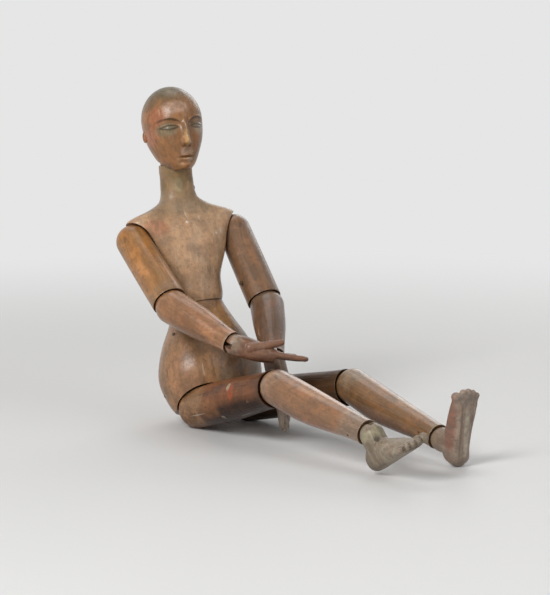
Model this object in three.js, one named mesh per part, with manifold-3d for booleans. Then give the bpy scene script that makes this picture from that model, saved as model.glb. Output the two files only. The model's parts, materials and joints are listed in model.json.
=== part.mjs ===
// A wooden lay figure, the jointed mannequin that artists draw from, sitting with its legs out.
// Millimetres, +Z up. The pelvis faces -Y and the figure's right side is towards -X.
// Every joint is alike: the piece below has a rounded end, seated in the hollow end of the piece
// above. A tongue joins them. Its eye bends on a pin in the rounded end, its round stem turns in a
// bore of the hollow end, and a peg across the hollow end lies in a groove of the stem to hold it.
import * as THREE from 'three';
import { mergeVertices } from 'three/addons/utils/BufferGeometryUtils.js';
import Module from 'manifold-3d';

const wasm = await Module();
wasm.setup();

// Clearances
const ballGap = 0.4;
const turningClearance = 0.3;

// Joint fittings: a big set, a short one for the shoulders and a small one for the wrists and the ankles
const bigFittings = {
  tongueThickness: 3.4,
  bladeHalfWidth: 2.2,
  eyeRadius: 4,
  pinRadius: 1.3,
  stemRadius: 2.8,
  stemLength: 14,
  grooveDepth: 1.2,
  pegRadius: 1.3,
  pegSetback: 7,
};
const shortFittings = { ...bigFittings, stemLength: 9, pegSetback: 4.2 };
const smallFittings = {
  tongueThickness: 2.4,
  bladeHalfWidth: 1.7,
  eyeRadius: 2.8,
  pinRadius: 0.9,
  stemRadius: 2,
  stemLength: 10,
  grooveDepth: 0.9,
  pegRadius: 0.9,
  pegSetback: 5,
};

// Rounded ends: radius, how far the hollow lets them lean, and the travel of the tongue in its slot
// in degrees from the standing pose
const neckBall = { radius: 9.2, lean: 30, slotFrom: -26, slotTo: 26, fittings: bigFittings };
const waistBall = { radius: 16.5, lean: 24, slotFrom: -22, slotTo: 22, fittings: bigFittings };
const shoulderBall = { radius: 10.3, lean: 58, slotFrom: -84, slotTo: 20, fittings: shortFittings };
const elbowBall = { radius: 10.5, lean: 47, slotFrom: -46, slotTo: 5, fittings: bigFittings };
const wristBall = { radius: 6.2, lean: 50, slotFrom: -49, slotTo: 49, fittings: smallFittings };
const hipBall = { radius: 12.2, lean: 53, slotFrom: -97, slotTo: 5, fittings: bigFittings };
const kneeBall = { radius: 10.6, lean: 47, slotFrom: -5, slotTo: 46, fittings: bigFittings };
const ankleBall = { radius: 6.9, lean: 58, slotFrom: -30, slotTo: 57, fittings: smallFittings };

// Trunk
const pelvis = {
  waistHeight: 71,
  waistBack: 8,
  waistRadius: 15.4,
  hipHalfSpacing: 19.2,
  hipHalfWidth: 33.5,
  hipHalfDepth: 26.5,
  seatDrop: 7.2,
  seatCutHeight: 3.3,
  seatCutTilt: 12,
  hipSocketTilt: 45,
};
const chest = {
  shoulderHeight: 37,
  shoulderHalfSpacing: 35.2,
  shoulderTopHalfWidth: 36.8,
  shoulderTopRise: 13.5,
  ribHalfWidth: 23.5,
  ribHalfDepth: 17,
  neckTopHeight: 83,
  neckForward: 6.5,
  neckRadius: 10,
  neckTilt: 14,
  shoulderSocketDrop: 38,
  shoulderSocketForward: 15,
};
const head = {
  crownHeight: 46.5,
  chinDrop: 5.6,
  halfWidth: 18.4,
  halfDepth: 21.2,
  forward: 3.5,
  noseLength: 4.2,
  earHeight: 17,
  nodRoom: 18,
};

// Limbs
const upperArm = { length: 60, middleRadius: 10.6, elbowRadius: 10.7 };
const forearm = { length: 53, middleRadius: 9.6, wristRadius: 6.9 };
const hand = {
  length: 43.5,
  palmLength: 24,
  palmHalfWidth: 8,
  palmHalfDepth: 4.4,
  thumbLength: 18,
  thumbSpread: 2.7,
  thumbLift: 8.5,
  wristSlotTurn: 20,
};
const thigh = { length: 89, middleRadius: 12.6, kneeRadius: 11 };
const shin = { length: 83, calfRadius: 10.4, calfBack: 1.2, ankleRadius: 7.3 };
const foot = { length: 46, heelBack: 11, ankleHeight: 19, ballHalfWidth: 8.4, heelHalfWidth: 6.4 };

// The sitting pose, degrees turned and bent at each joint from the standing pose
const pelvisLeanBack = 18;
const pose = {
  waist: { turn: 9.3, bend: 0 },
  neck: { turn: 4, bend: 8 },
  right_shoulder: { turn: -46.9, bend: 1 },
  left_shoulder: { turn: 33.5, bend: -0.6 },
  right_elbow: { turn: 80, bend: -21.5 },
  left_elbow: { turn: -76, bend: -26 },
  right_wrist: { turn: 164, bend: 44 },
  left_wrist: { turn: 96, bend: -44 },
  right_hip: { turn: -5.2, bend: -88.4 },
  left_hip: { turn: 12, bend: -85.6 },
  right_knee: { turn: -5, bend: 26.8 },
  left_knee: { turn: 10.3, bend: 27.6 },
  right_ankle: { turn: -3, bend: 50 },
  left_ankle: { turn: -24, bend: -5 },
};

// Facets
const roundSides = 14;
const ballSteps = 3;
const fittingSides = 8;
const stemSides = 6;
const far = 60;

const degrees = THREE.MathUtils.degToRad;

// Materials
const carvedWood = { color: 0x7a4f33, roughness: 0.5, metalness: 0 };
const tongueWood = { color: 0x6b4a2e, roughness: 0.7, metalness: 0 };
const pegWood = { color: 0x3f2a1c, roughness: 0.6, metalness: 0 };

function solidOf(geometry) {
  const bare = geometry.clone();
  bare.deleteAttribute('normal');
  bare.deleteAttribute('uv');
  const merged = mergeVertices(bare, 1e-4);
  return new wasm.Manifold(new wasm.Mesh({
    numProp: 3,
    vertProperties: merged.attributes.position.array,
    triVerts: new Uint32Array(merged.index.array),
  }));
}

function geometryOf(solid) {
  const mesh = solid.getMesh();
  const geometry = new THREE.BufferGeometry();
  geometry.setAttribute('position', new THREE.BufferAttribute(mesh.vertProperties, 3));
  geometry.setIndex(new THREE.BufferAttribute(mesh.triVerts, 1));
  return geometry;
}

function placed(geometry, matrix) {
  return solidOf(geometry.clone().applyMatrix4(matrix));
}

function meshOf(name, solid, look) {
  const mesh = new THREE.Mesh(geometryOf(solid), new THREE.MeshStandardMaterial(look));
  mesh.name = name;
  return mesh;
}

// A closed skin over a stack of rings, with one point to close each end
function loft(rings, firstPoint, lastPoint) {
  const sides = rings[0].length;
  const points = [firstPoint, ...rings.flat(), lastPoint];
  const last = points.length - 1;
  const indices = [];
  for (let side = 0; side < sides; side += 1) {
    const next = (side + 1) % sides;
    indices.push(0, 1 + next, 1 + side);
    for (let ring = 0; ring + 1 < rings.length; ring += 1) {
      const low = 1 + ring * sides;
      const high = low + sides;
      indices.push(low + side, low + next, high + next);
      indices.push(low + side, high + next, high + side);
    }
    const top = 1 + (rings.length - 1) * sides;
    indices.push(last, top + side, top + next);
  }
  const geometry = new THREE.BufferGeometry().setFromPoints(points);
  geometry.setIndex(indices);
  return geometry;
}

// The section at one height of a form given by a few sections, on a smooth curve through them
function sectionAt(sections, z) {
  let index = 0;
  while (index + 2 < sections.length && z > sections[index + 1].z) {
    index += 1;
  }
  const from = sections[index];
  const to = sections[index + 1];
  const before = sections[index - 1] ?? from;
  const after = sections[index + 2] ?? to;
  const span = to.z - from.z;
  const t = (z - from.z) / span;
  const smooth = (key) => {
    const startSlope = (to[key] - before[key]) / (to.z - before.z);
    const endSlope = (after[key] - from[key]) / (after.z - from.z);
    const rise = to[key] - from[key];
    const sag = startSlope * span - rise;
    const swell = rise - endSlope * span;
    return from[key] + t * rise + t * (1 - t) * ((1 - t) * sag + t * swell);
  };
  return { z, width: smooth('width'), depth: smooth('depth'), y: smooth('y') };
}

function superCosine(angle, squareness) {
  const value = Math.cos(angle);
  return Math.sign(value) * Math.abs(value) ** (2 / squareness);
}

function ring(section, squareness = 2, sides = roundSides) {
  return Array.from({ length: sides }, (_, side) => {
    const angle = (2 * Math.PI * (side + 0.5)) / sides;
    const x = section.width * superCosine(angle, squareness);
    const y = section.depth * superCosine(angle - Math.PI / 2, squareness);
    return new THREE.Vector3(x, section.y + y, section.z);
  });
}

// Rings of the rounded end of a limb that hangs down from it, from its equator to its pole
function domeRings(radius) {
  return Array.from({ length: ballSteps - 1 }, (_, step) => {
    const angle = ((step + 1) * Math.PI) / 2 / ballSteps;
    const wide = radius * Math.cos(angle);
    return ring({ z: radius * Math.sin(angle), width: wide, depth: wide, y: 0 });
  });
}

// A limb hanging down -Z from a rounded end at the origin, through sections listed from below
function limb(ballRadius, sections, steps, squareness = 2) {
  const low = sections[0].z;
  const rings = Array.from({ length: steps + 1 }, (_, step) => {
    const z = low - (low * step) / steps;
    return ring(sectionAt(sections, z), squareness);
  });
  const lowPoint = new THREE.Vector3(0, sections[0].y, low);
  return loft([...rings, ...domeRings(ballRadius)], lowPoint, new THREE.Vector3(0, 0, ballRadius));
}

function round(z, radius, y = 0) {
  return { z, width: radius, depth: radius, y };
}

function oval(z, width, depth, y = 0) {
  return { z, width, depth, y };
}

// A cylinder along X
function crossRod(radius, length) {
  return new THREE.CylinderGeometry(radius, radius, length, fittingSides).rotateZ(Math.PI / 2);
}

// The radius of a faceted hole whose flats clear a rod
function holeRadius(rodRadius, sides = fittingSides) {
  return (rodRadius + turningClearance) / Math.cos(Math.PI / sides);
}

// A body turned about Z from points of radius and height
function turned(profile, sides) {
  const points = profile.map(([radius, height]) => new THREE.Vector2(radius, height));
  return new THREE.LatheGeometry(points, sides).rotateX(Math.PI / 2);
}

// The hollow for a rounded end: a ball, opened by the cone that the limb leans through.
// Its facets lie outside the ball of its radius, so the rounded end turns freely inside them.
function hollowGeometry(ball) {
  const lean = degrees(ball.lean);
  const steps = Math.ceil((90 - ball.lean) / 20);
  const step = (Math.PI / 2 - lean) / steps;
  const radius = (ball.radius + ballGap) / Math.cos(Math.PI / roundSides) / Math.cos(step / 2);
  const arc = Array.from({ length: steps }, (_, index) => {
    const angle = lean + index * step;
    return [radius * Math.cos(angle), radius * Math.sin(angle)];
  });
  const reach = 2 * ball.radius;
  const edge = [arc[0][0] + reach * Math.sin(lean), arc[0][1] - reach * Math.cos(lean)];
  return turned([[0, -far], [edge[0], -far], edge, ...arc, [0, radius]], roundSides);
}

function stemStart(ball) {
  return ball.radius + 2 * ballGap;
}

function pegPlace(ball) {
  const { stemRadius, grooveDepth, pegRadius, pegSetback } = ball.fittings;
  const aside = stemRadius - grooveDepth + turningClearance + pegRadius;
  return new THREE.Matrix4().makeTranslation(0, aside, stemStart(ball) + pegSetback);
}

// The bore for the stem and the cross hole for its peg
function boreSolid(ball, pegSpan) {
  const { stemRadius, stemLength, pegRadius } = ball.fittings;
  const radius = holeRadius(stemRadius, stemSides);
  const end = stemStart(ball) + stemLength + 2 * turningClearance;
  const bore = solidOf(turned([[0, 0], [radius, 0], [radius, end], [0, end]], stemSides));
  const [from, to] = pegSpan;
  const hole = crossRod(holeRadius(pegRadius), to - from + 2 * turningClearance);
  hole.translate((from + to) / 2, 0, 0);
  return bore.add(placed(hole, pegPlace(ball)));
}

function pegSolid(ball, pegSpan) {
  const [from, to] = pegSpan;
  const peg = crossRod(ball.fittings.pegRadius, to - from);
  peg.translate((from + to) / 2, 0, 0);
  return placed(peg, pegPlace(ball));
}

// The tongue: a flat eye on the pin and a round grooved stem up the bore
function tongueSolid(ball) {
  const { tongueThickness, eyeRadius, pinRadius, stemRadius, stemLength } = ball.fittings;
  const { bladeHalfWidth, grooveDepth, pegRadius, pegSetback } = ball.fittings;
  const start = stemStart(ball) + turningClearance / 2;
  const end = start + stemLength;
  const corner = Math.acos(bladeHalfWidth / eyeRadius);
  const outline = new THREE.Shape();
  outline.moveTo(bladeHalfWidth, start + stemRadius);
  outline.absarc(0, 0, eyeRadius, corner, Math.PI - corner, true);
  outline.lineTo(-bladeHalfWidth, start + stemRadius);
  const options = { depth: tongueThickness, bevelEnabled: false, curveSegments: 4 };
  const blade = new THREE.ExtrudeGeometry(outline, options);
  blade.translate(0, 0, -tongueThickness / 2).rotateX(Math.PI / 2).rotateZ(Math.PI / 2);
  const groove = stemStart(ball) + pegSetback;
  const half = pegRadius + turningClearance;
  const core = stemRadius - grooveDepth;
  const stem = turned([
    [0, start], [stemRadius, start], [stemRadius, groove - half], [core, groove - half],
    [core, groove + half], [stemRadius, groove + half], [stemRadius, end], [0, end],
  ], stemSides);
  const hole = solidOf(crossRod(holeRadius(pinRadius), 2 * tongueThickness));
  return solidOf(blade).add(solidOf(stem)).subtract(hole);
}

// The slot in a rounded end that the tongue swings through, and the hole for its pin
function slotSolid(ball) {
  const { tongueThickness, bladeHalfWidth, eyeRadius, pinRadius } = ball.fittings;
  const half = bladeHalfWidth + turningClearance;
  const from = degrees(ball.slotFrom);
  const to = degrees(ball.slotTo);
  const along = (angle, distance, aside) => new THREE.Vector2(
    distance * Math.sin(angle) + aside * Math.cos(angle),
    distance * Math.cos(angle) - aside * Math.sin(angle),
  );
  const reach = 1.5 * ball.radius;
  const middle = (from + to) / 2;
  const corners = [
    along(to, 0, half), along(to, reach, half), along(middle, 1.4 * reach, 0),
    along(from, reach, -half), along(from, 0, -half),
  ];
  const depth = tongueThickness + 2 * turningClearance;
  const fan = new THREE.ExtrudeGeometry(new THREE.Shape(corners), { depth, bevelEnabled: false });
  fan.translate(0, 0, -depth / 2).rotateX(Math.PI / 2).rotateZ(Math.PI / 2);
  const eyeRoom = crossRod(holeRadius(eyeRadius), depth);
  const pinHole = crossRod(holeRadius(pinRadius), 2 * far);
  return solidOf(fan).add(solidOf(eyeRoom)).add(solidOf(pinHole));
}

function pinSolid(ball) {
  const { pinRadius } = ball.fittings;
  const halfLength = Math.sqrt(ball.radius ** 2 - pinRadius ** 2) - turningClearance;
  return solidOf(crossRod(pinRadius, 2 * halfLength));
}

function moved(solid, matrix) {
  return solidOf(geometryOf(solid).applyMatrix4(matrix));
}

function bodyRings(sections, steps, squareness) {
  const low = sections[0].z;
  const high = sections.at(-1).z;
  return Array.from({ length: steps + 1 }, (_, step) => {
    const z = low + ((high - low) * step) / steps;
    return ring(sectionAt(sections, z), squareness);
  });
}

// A rod along -Z from the origin, thinner to a rounded tip, then laid from one point to another
function taperedRod(from, to, startRadius, tipRadius, sides = 6) {
  const length = from.distanceTo(to);
  const rod = turned([
    [0, -length], [0.7 * tipRadius, 0.35 * tipRadius - length], [tipRadius, 1.2 * tipRadius - length],
    [startRadius, 0], [0, 0],
  ], sides);
  const direction = to.clone().sub(from).normalize();
  const turn = new THREE.Quaternion().setFromUnitVectors(new THREE.Vector3(0, 0, -1), direction);
  return solidOf(rod.applyQuaternion(turn).translate(from.x, from.y, from.z));
}

function upperArmSolid() {
  const { length, middleRadius, elbowRadius } = upperArm;
  return solidOf(limb(shoulderBall.radius, [
    round(-length - 2, elbowRadius), round(-0.8 * length, elbowRadius),
    round(-0.4 * length, middleRadius), round(0, shoulderBall.radius),
  ], 3));
}

function forearmSolid() {
  const { length, middleRadius, wristRadius } = forearm;
  return solidOf(limb(elbowBall.radius, [
    round(-length - 2, wristRadius), round(-0.85 * length, wristRadius),
    round(-0.4 * length, middleRadius), round(0, elbowBall.radius),
  ], 4));
}

function thighSolid() {
  const { length, middleRadius, kneeRadius } = thigh;
  return solidOf(limb(hipBall.radius, [
    round(-length - 2, kneeRadius), round(-0.85 * length, kneeRadius),
    round(-0.4 * length, middleRadius), round(0, hipBall.radius),
  ], 4));
}

function shinSolid() {
  const { length, calfRadius, calfBack, ankleRadius } = shin;
  return solidOf(limb(kneeBall.radius, [
    round(-length - 2, ankleRadius), round(-0.85 * length, ankleRadius),
    round(-0.35 * length, calfRadius, calfBack), round(0, kneeBall.radius),
  ], 5));
}

// A hand hangs with its palm towards +Y, its four fingers side by side and its thumb on the inward side
function handSolid(inward) {
  const { length, palmLength, palmHalfWidth, palmHalfDepth } = hand;
  const { thumbLength, thumbSpread, thumbLift } = hand;
  let solid = solidOf(limb(wristBall.radius, [
    oval(-palmLength, palmHalfWidth, palmHalfDepth - 1),
    oval(-0.65 * palmLength, palmHalfWidth, palmHalfDepth),
    oval(-0.25 * palmLength, wristBall.radius, palmHalfDepth + 1),
    round(0, wristBall.radius),
  ], 5, 2.4));
  const fingerRadius = palmHalfWidth / 3.7;
  const shortBy = [2, 0, 1.8, 6];
  shortBy.forEach((short, finger) => {
    const x = inward * fingerRadius * (2.8 - 1.87 * finger);
    const start = new THREE.Vector3(x, 0, 3 - palmLength);
    const tip = new THREE.Vector3(0.85 * x, 2, short - length);
    solid = solid.add(taperedRod(start, tip, fingerRadius * 1.05, fingerRadius * 0.65));
  });
  const thumbStart = new THREE.Vector3(inward * 0.6 * palmHalfWidth, 0.5, -0.35 * palmLength);
  const thumbTip = thumbStart.clone().add(new THREE.Vector3(inward * thumbSpread, thumbLift, -thumbLength));
  return solid.add(taperedRod(thumbStart, thumbTip, fingerRadius * 1.2, fingerRadius * 0.8));
}

// A foot points to -Y with a flat sole and its big toe on the inward side
function footSolid(inward) {
  const { length, heelBack, ankleHeight, ballHalfWidth, heelHalfWidth } = foot;
  const toeLength = 8;
  const sections = [
    oval(0.6, 0.5 * heelHalfWidth, 3.6, 5.6 - ankleHeight),
    oval(4, heelHalfWidth, 6.4, 6.4 - ankleHeight),
    oval(heelBack, heelHalfWidth, 8.6, 8.2 - ankleHeight),
    oval(heelBack + 9, heelHalfWidth + 0.6, 6.8, 6.4 - ankleHeight),
    oval(length - toeLength - 8, ballHalfWidth, 4.6, 4.2 - ankleHeight),
    oval(length - toeLength + 1, ballHalfWidth - 0.4, 3, 2.7 - ankleHeight),
  ];
  const rings = bodyRings(sections, 7, 2.3);
  const heel = new THREE.Vector3(0, sections[0].y, -0.4);
  const front = new THREE.Vector3(0, sections.at(-1).y, sections.at(-1).z);
  const along = new THREE.Matrix4().makeTranslation(0, heelBack, 0);
  along.multiply(new THREE.Matrix4().makeRotationX(Math.PI / 2));
  let solid = placed(loft(rings, heel, front), along);
  const ankle = limb(ankleBall.radius, [
    round(-0.6 * ankleHeight, ankleBall.radius - 0.2), round(0, ankleBall.radius),
  ], 2);
  solid = solid.add(solidOf(ankle));
  const toeRadii = [2.7, 1.8, 1.7, 1.6, 1.4];
  const toeShort = [0, 0.3, 1.2, 2.6, 4.4];
  let x = ballHalfWidth + 0.3;
  toeRadii.forEach((radius, toe) => {
    x -= radius;
    const end = heelBack - length + toeShort[toe];
    const start = new THREE.Vector3(inward * x * 0.95, end + toeLength + 1, radius + 0.6 - ankleHeight);
    const tip = new THREE.Vector3(inward * x, end, radius - 0.2 - ankleHeight);
    solid = solid.add(taperedRod(start, tip, radius, radius * 0.95));
    x -= radius - 0.15;
  });
  const ground = new THREE.BoxGeometry(4 * far, 4 * far, far);
  ground.translate(0, 0, -ankleHeight - far / 2);
  return solid.subtract(solidOf(ground));
}

function pelvisSolid() {
  const { waistHeight, waistBack, waistRadius, hipHalfWidth, hipHalfDepth } = pelvis;
  const { seatDrop, seatCutHeight, seatCutTilt } = pelvis;
  const seam = waistHeight - waistBall.radius * Math.sin(degrees(waistBall.lean));
  const sections = [
    oval(-seatDrop, 0.5 * hipHalfWidth, 0.36 * hipHalfDepth, waistBack - 4),
    oval(-seatDrop + 5, 0.82 * hipHalfWidth, 0.66 * hipHalfDepth, waistBack - 2),
    oval(0.2 * seam, 0.98 * hipHalfWidth, 0.94 * hipHalfDepth, waistBack),
    oval(0.38 * seam, hipHalfWidth, hipHalfDepth, waistBack),
    oval(0.62 * seam, 0.85 * hipHalfWidth, 0.85 * hipHalfDepth, waistBack),
    oval(0.82 * seam, 0.62 * hipHalfWidth, 0.72 * hipHalfDepth, waistBack),
    round(seam, waistRadius, waistBack),
    round(waistHeight, waistRadius, waistBack),
  ];
  const low = new THREE.Vector3(0, waistBack - 4, -seatDrop);
  const high = new THREE.Vector3(0, waistBack, waistHeight);
  const under = new THREE.BoxGeometry(4 * far, 4 * far, far).translate(0, 0, -far / 2);
  under.rotateX(-degrees(seatCutTilt)).translate(0, 0, seatCutHeight);
  return solidOf(loft(bodyRings(sections, 10, 2.1), low, high)).subtract(solidOf(under));
}

// The chest rises from the rounded end at the waist to the top of the neck
function chestSolid() {
  const { shoulderHeight, shoulderTopHalfWidth, shoulderTopRise, ribHalfWidth, ribHalfDepth } = chest;
  const { neckTopHeight, neckForward, neckRadius } = chest;
  const top = shoulderHeight + shoulderTopRise;
  const neckFoot = top + 10;
  const sections = [
    round(0, waistBall.radius),
    oval(0.25 * shoulderHeight, waistBall.radius + 1, waistBall.radius - 0.8),
    oval(0.62 * shoulderHeight, ribHalfWidth, ribHalfDepth),
    oval(shoulderHeight, 0.8 * shoulderTopHalfWidth, ribHalfDepth - 1),
    oval(top - 3.5, shoulderTopHalfWidth, ribHalfDepth - 4.5, 0.5),
    oval(top, 0.94 * shoulderTopHalfWidth, ribHalfDepth - 6, 0.5),
    oval(top + 5, 0.55 * shoulderTopHalfWidth, neckRadius + 0.6, 0),
    oval(neckFoot, neckRadius + 2, neckRadius + 0.4, -0.2 * neckForward),
    round((neckFoot + neckTopHeight) / 2, neckRadius, -0.6 * neckForward),
    round(neckTopHeight + 2, neckRadius, -neckForward),
  ];
  const dome = domeRings(waistBall.radius).reverse();
  dome.flat().forEach((point) => point.setZ(-point.z));
  const low = new THREE.Vector3(0, 0, -waistBall.radius);
  const high = new THREE.Vector3(0, -neckForward, neckTopHeight + 2);
  return solidOf(loft([...dome, ...bodyRings(sections, 14, 2.3)], low, high));
}

// A soft bump on the face, 1 at its centre
function bump(x, z, atX, atZ, wide, tall) {
  return Math.exp(-(((x - atX) / wide) ** 2) - ((z - atZ) / tall) ** 2);
}

// How far the carving stands proud of the smooth front of the head
function faceRelief(x, z) {
  const side = Math.abs(x);
  const nose = head.noseLength * bump(x, z, 0, 10, 2.6, 3.2) + 2 * bump(x, z, 0, 17, 2, 6);
  const eyes = bump(side, z, 7.8, 20.2, 2.4, 1.6) - 2.4 * bump(side, z, 7.4, 20.4, 4.8, 3);
  const mouth = 1.4 * bump(x, z, 0, 1, 4.6, 1.7) - 0.7 * bump(x, z, 0, -1.6, 4.5, 1.2);
  const chin = 1.6 * bump(x, z, 0, -4, 4.2, 2.2);
  return nose + eyes + mouth + chin;
}

// The head is an egg on the rounded end of the neck, with a carved face towards -Y and two low ears
function headSolid() {
  const { crownHeight, chinDrop, halfWidth, halfDepth, forward, earHeight, nodRoom } = head;
  const neckRoom = chest.neckRadius + turningClearance;
  const reliefTop = neckRoom * Math.tan(degrees(nodRoom));
  const sections = [
    oval(-chinDrop, 0.34 * halfWidth, 0.4 * halfDepth, -2.6 * forward),
    oval(-chinDrop + 3, 0.5 * halfWidth, 0.6 * halfDepth, -1.9 * forward),
    oval(0.1 * crownHeight, 0.69 * halfWidth, 0.79 * halfDepth, -1.3 * forward),
    oval(0.3 * crownHeight, 0.89 * halfWidth, 0.94 * halfDepth, -forward),
    oval(0.55 * crownHeight, halfWidth, halfDepth, -0.8 * forward),
    oval(0.78 * crownHeight, 0.88 * halfWidth, 0.9 * halfDepth, -0.6 * forward),
    oval(0.93 * crownHeight, 0.52 * halfWidth, 0.54 * halfDepth, -0.6 * forward),
    oval(0.985 * crownHeight, 0.2 * halfWidth, 0.22 * halfDepth, -0.6 * forward),
  ];
  const sides = 22;
  const rings = bodyRings(sections, 15, 2).map(([first]) => {
    const { z } = first;
    const section = sectionAt(sections, z);
    return Array.from({ length: sides }, (_, side) => {
      const even = (2 * Math.PI * (side + 0.5)) / sides;
      const angle = even - 0.45 * Math.cos(even);
      const x = section.width * Math.cos(angle);
      const y = section.y + section.depth * Math.sin(angle);
      const frontness = Math.max(0, -Math.sin(angle));
      return new THREE.Vector3(x, y - frontness * faceRelief(x, z), z);
    });
  });
  const low = new THREE.Vector3(0, sections[0].y, -chinDrop - 0.4);
  const crown = new THREE.Vector3(0, sections.at(-1).y, crownHeight);
  const relief = turned([
    [0, -far], [neckRoom + far * Math.tan(degrees(nodRoom)), -far], [neckRoom, reliefTop], [0, reliefTop],
  ], roundSides);
  let solid = solidOf(loft(rings, low, crown)).subtract(solidOf(relief));
  const knob = new THREE.SphereGeometry(neckBall.radius, roundSides, 2 * ballSteps);
  solid = solid.add(solidOf(knob.rotateX(Math.PI / 2)));
  for (const sideways of [-1, 1]) {
    const ear = new THREE.SphereGeometry(1, 10, 6);
    ear.scale(1.5, 2.6, 4.6).rotateX(0.15);
    ear.translate(sideways * (0.94 * halfWidth), 1, earHeight);
    solid = solid.add(solidOf(ear));
  }
  return solid;
}

// Each carved piece keeps its uncut outside, to trim pegs flush, beside the solid that is cut
const pieces = [];

function carve(name, outside) {
  const piece = { name, outside, solid: outside, group: new THREE.Group() };
  pieces.push(piece);
  return piece;
}

// Seats the rounded end of one piece, at its own origin, in a hollow of the piece above
function join(name, above, below, ball, seat) {
  const { centre, outward, hinge, pegSpan = [-far, far] } = seat;
  const into = outward.clone().normalize().negate();
  const across = hinge.clone().normalize();
  const axes = new THREE.Matrix4().makeBasis(across, into.clone().cross(across), into);
  const place = axes.clone().setPosition(centre);

  above.solid = above.solid.subtract(placed(hollowGeometry(ball), place));
  above.solid = above.solid.subtract(moved(boreSolid(ball, pegSpan), place));
  below.solid = below.solid.subtract(moved(slotSolid(ball), axes));
  const peg = moved(pegSolid(ball, pegSpan), place).intersect(above.outside);
  above.group.add(meshOf(name + '_peg', peg, pegWood));

  const frame = new THREE.Group();
  frame.position.copy(centre);
  frame.quaternion.setFromRotationMatrix(axes);
  const swivel = new THREE.Group();
  swivel.name = name + '_swivel';
  swivel.rotation.z = degrees(pose[name].turn);
  const bend = new THREE.Group();
  bend.name = name + '_hinge';
  bend.rotation.x = degrees(pose[name].bend);
  below.group.quaternion.copy(frame.quaternion).invert();
  above.group.add(frame.add(swivel));
  swivel.add(meshOf(name + '_tongue', tongueSolid(ball), tongueWood), bend);
  bend.add(meshOf(name + '_pin', pinSolid(ball), pegWood), below.group);
}

const up = new THREE.Vector3(0, 0, 1);
const down = new THREE.Vector3(0, 0, -1);
const leftward = new THREE.Vector3(1, 0, 0);

// A direction in the middle plane, tipped forward from straight down or straight up
function tipped(forward, upright) {
  return new THREE.Vector3(0, -Math.sin(degrees(forward)), upright * Math.cos(degrees(forward)));
}

// How far past the stem a peg ends that doesn't go right through
const pegEnd = bigFittings.stemRadius + 2;

const pelvisPiece = carve('pelvis', pelvisSolid());
const chestPiece = carve('chest', chestSolid());
const headPiece = carve('head', headSolid());

join('waist', pelvisPiece, chestPiece, waistBall, {
  centre: new THREE.Vector3(0, pelvis.waistBack, pelvis.waistHeight),
  outward: up,
  hinge: leftward,
});
join('neck', chestPiece, headPiece, neckBall, {
  centre: new THREE.Vector3(0, -chest.neckForward, chest.neckTopHeight),
  outward: tipped(chest.neckTilt, 1),
  hinge: leftward,
  pegSpan: [-pegEnd, far],
});

for (const [side, sideways] of [['right', -1], ['left', 1]]) {
  const inward = -sideways;
  const blindPeg = sideways < 0 ? [-far, pegEnd] : [-pegEnd, far];
  const upperArmPiece = carve(side + '_upper_arm', upperArmSolid());
  const forearmPiece = carve(side + '_forearm', forearmSolid());
  const handPiece = carve(side + '_hand', handSolid(inward));
  const thighPiece = carve(side + '_thigh', thighSolid());
  const shinPiece = carve(side + '_shin', shinSolid());
  const footPiece = carve(side + '_foot', footSolid(inward));

  const drop = degrees(chest.shoulderSocketDrop);
  const forward = degrees(chest.shoulderSocketForward);
  const shoulderOutward = new THREE.Vector3(
    sideways * Math.cos(drop) * Math.cos(forward), -Math.cos(drop) * Math.sin(forward), -Math.sin(drop),
  );
  join(side + '_shoulder', chestPiece, upperArmPiece, shoulderBall, {
    centre: new THREE.Vector3(sideways * chest.shoulderHalfSpacing, 0, chest.shoulderHeight),
    outward: shoulderOutward,
    hinge: shoulderOutward.clone().cross(down),
    pegSpan: blindPeg,
  });
  join(side + '_elbow', upperArmPiece, forearmPiece, elbowBall, {
    centre: new THREE.Vector3(0, 0, -upperArm.length),
    outward: down,
    hinge: leftward,
  });
  const slotTurn = degrees(hand.wristSlotTurn);
  join(side + '_wrist', forearmPiece, handPiece, wristBall, {
    centre: new THREE.Vector3(0, 0, -forearm.length),
    outward: down,
    hinge: new THREE.Vector3(inward * Math.sin(slotTurn), Math.cos(slotTurn), 0),
  });
  join(side + '_hip', pelvisPiece, thighPiece, hipBall, {
    centre: new THREE.Vector3(sideways * pelvis.hipHalfSpacing, 0, 0),
    outward: tipped(pelvis.hipSocketTilt, -1),
    hinge: leftward,
    pegSpan: blindPeg,
  });
  join(side + '_knee', thighPiece, shinPiece, kneeBall, {
    centre: new THREE.Vector3(0, 0, -thigh.length),
    outward: down,
    hinge: leftward,
  });
  join(side + '_ankle', shinPiece, footPiece, ankleBall, {
    centre: new THREE.Vector3(0, 0, -shin.length),
    outward: down,
    hinge: leftward,
  });
}

for (const piece of pieces) {
  piece.group.add(meshOf(piece.name, piece.solid, carvedWood));
}

// The figure sits on the ground plane, with the middle of its footprint at the origin
const figure = new THREE.Group();
pelvisPiece.group.rotation.x = -degrees(pelvisLeanBack);
figure.add(pelvisPiece.group);
figure.updateMatrixWorld(true);
const bounds = new THREE.Box3().setFromObject(figure, true);
const middle = bounds.getCenter(new THREE.Vector3());
pelvisPiece.group.position.set(-middle.x, -middle.y, -bounds.min.z);

export default figure;
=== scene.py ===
import json
from functools import partial
from math import radians, sin, cos, tan, pi, sqrt, exp, atan2

import bpy
import bmesh
import numpy as np
from mathutils import Matrix, Vector

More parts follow.
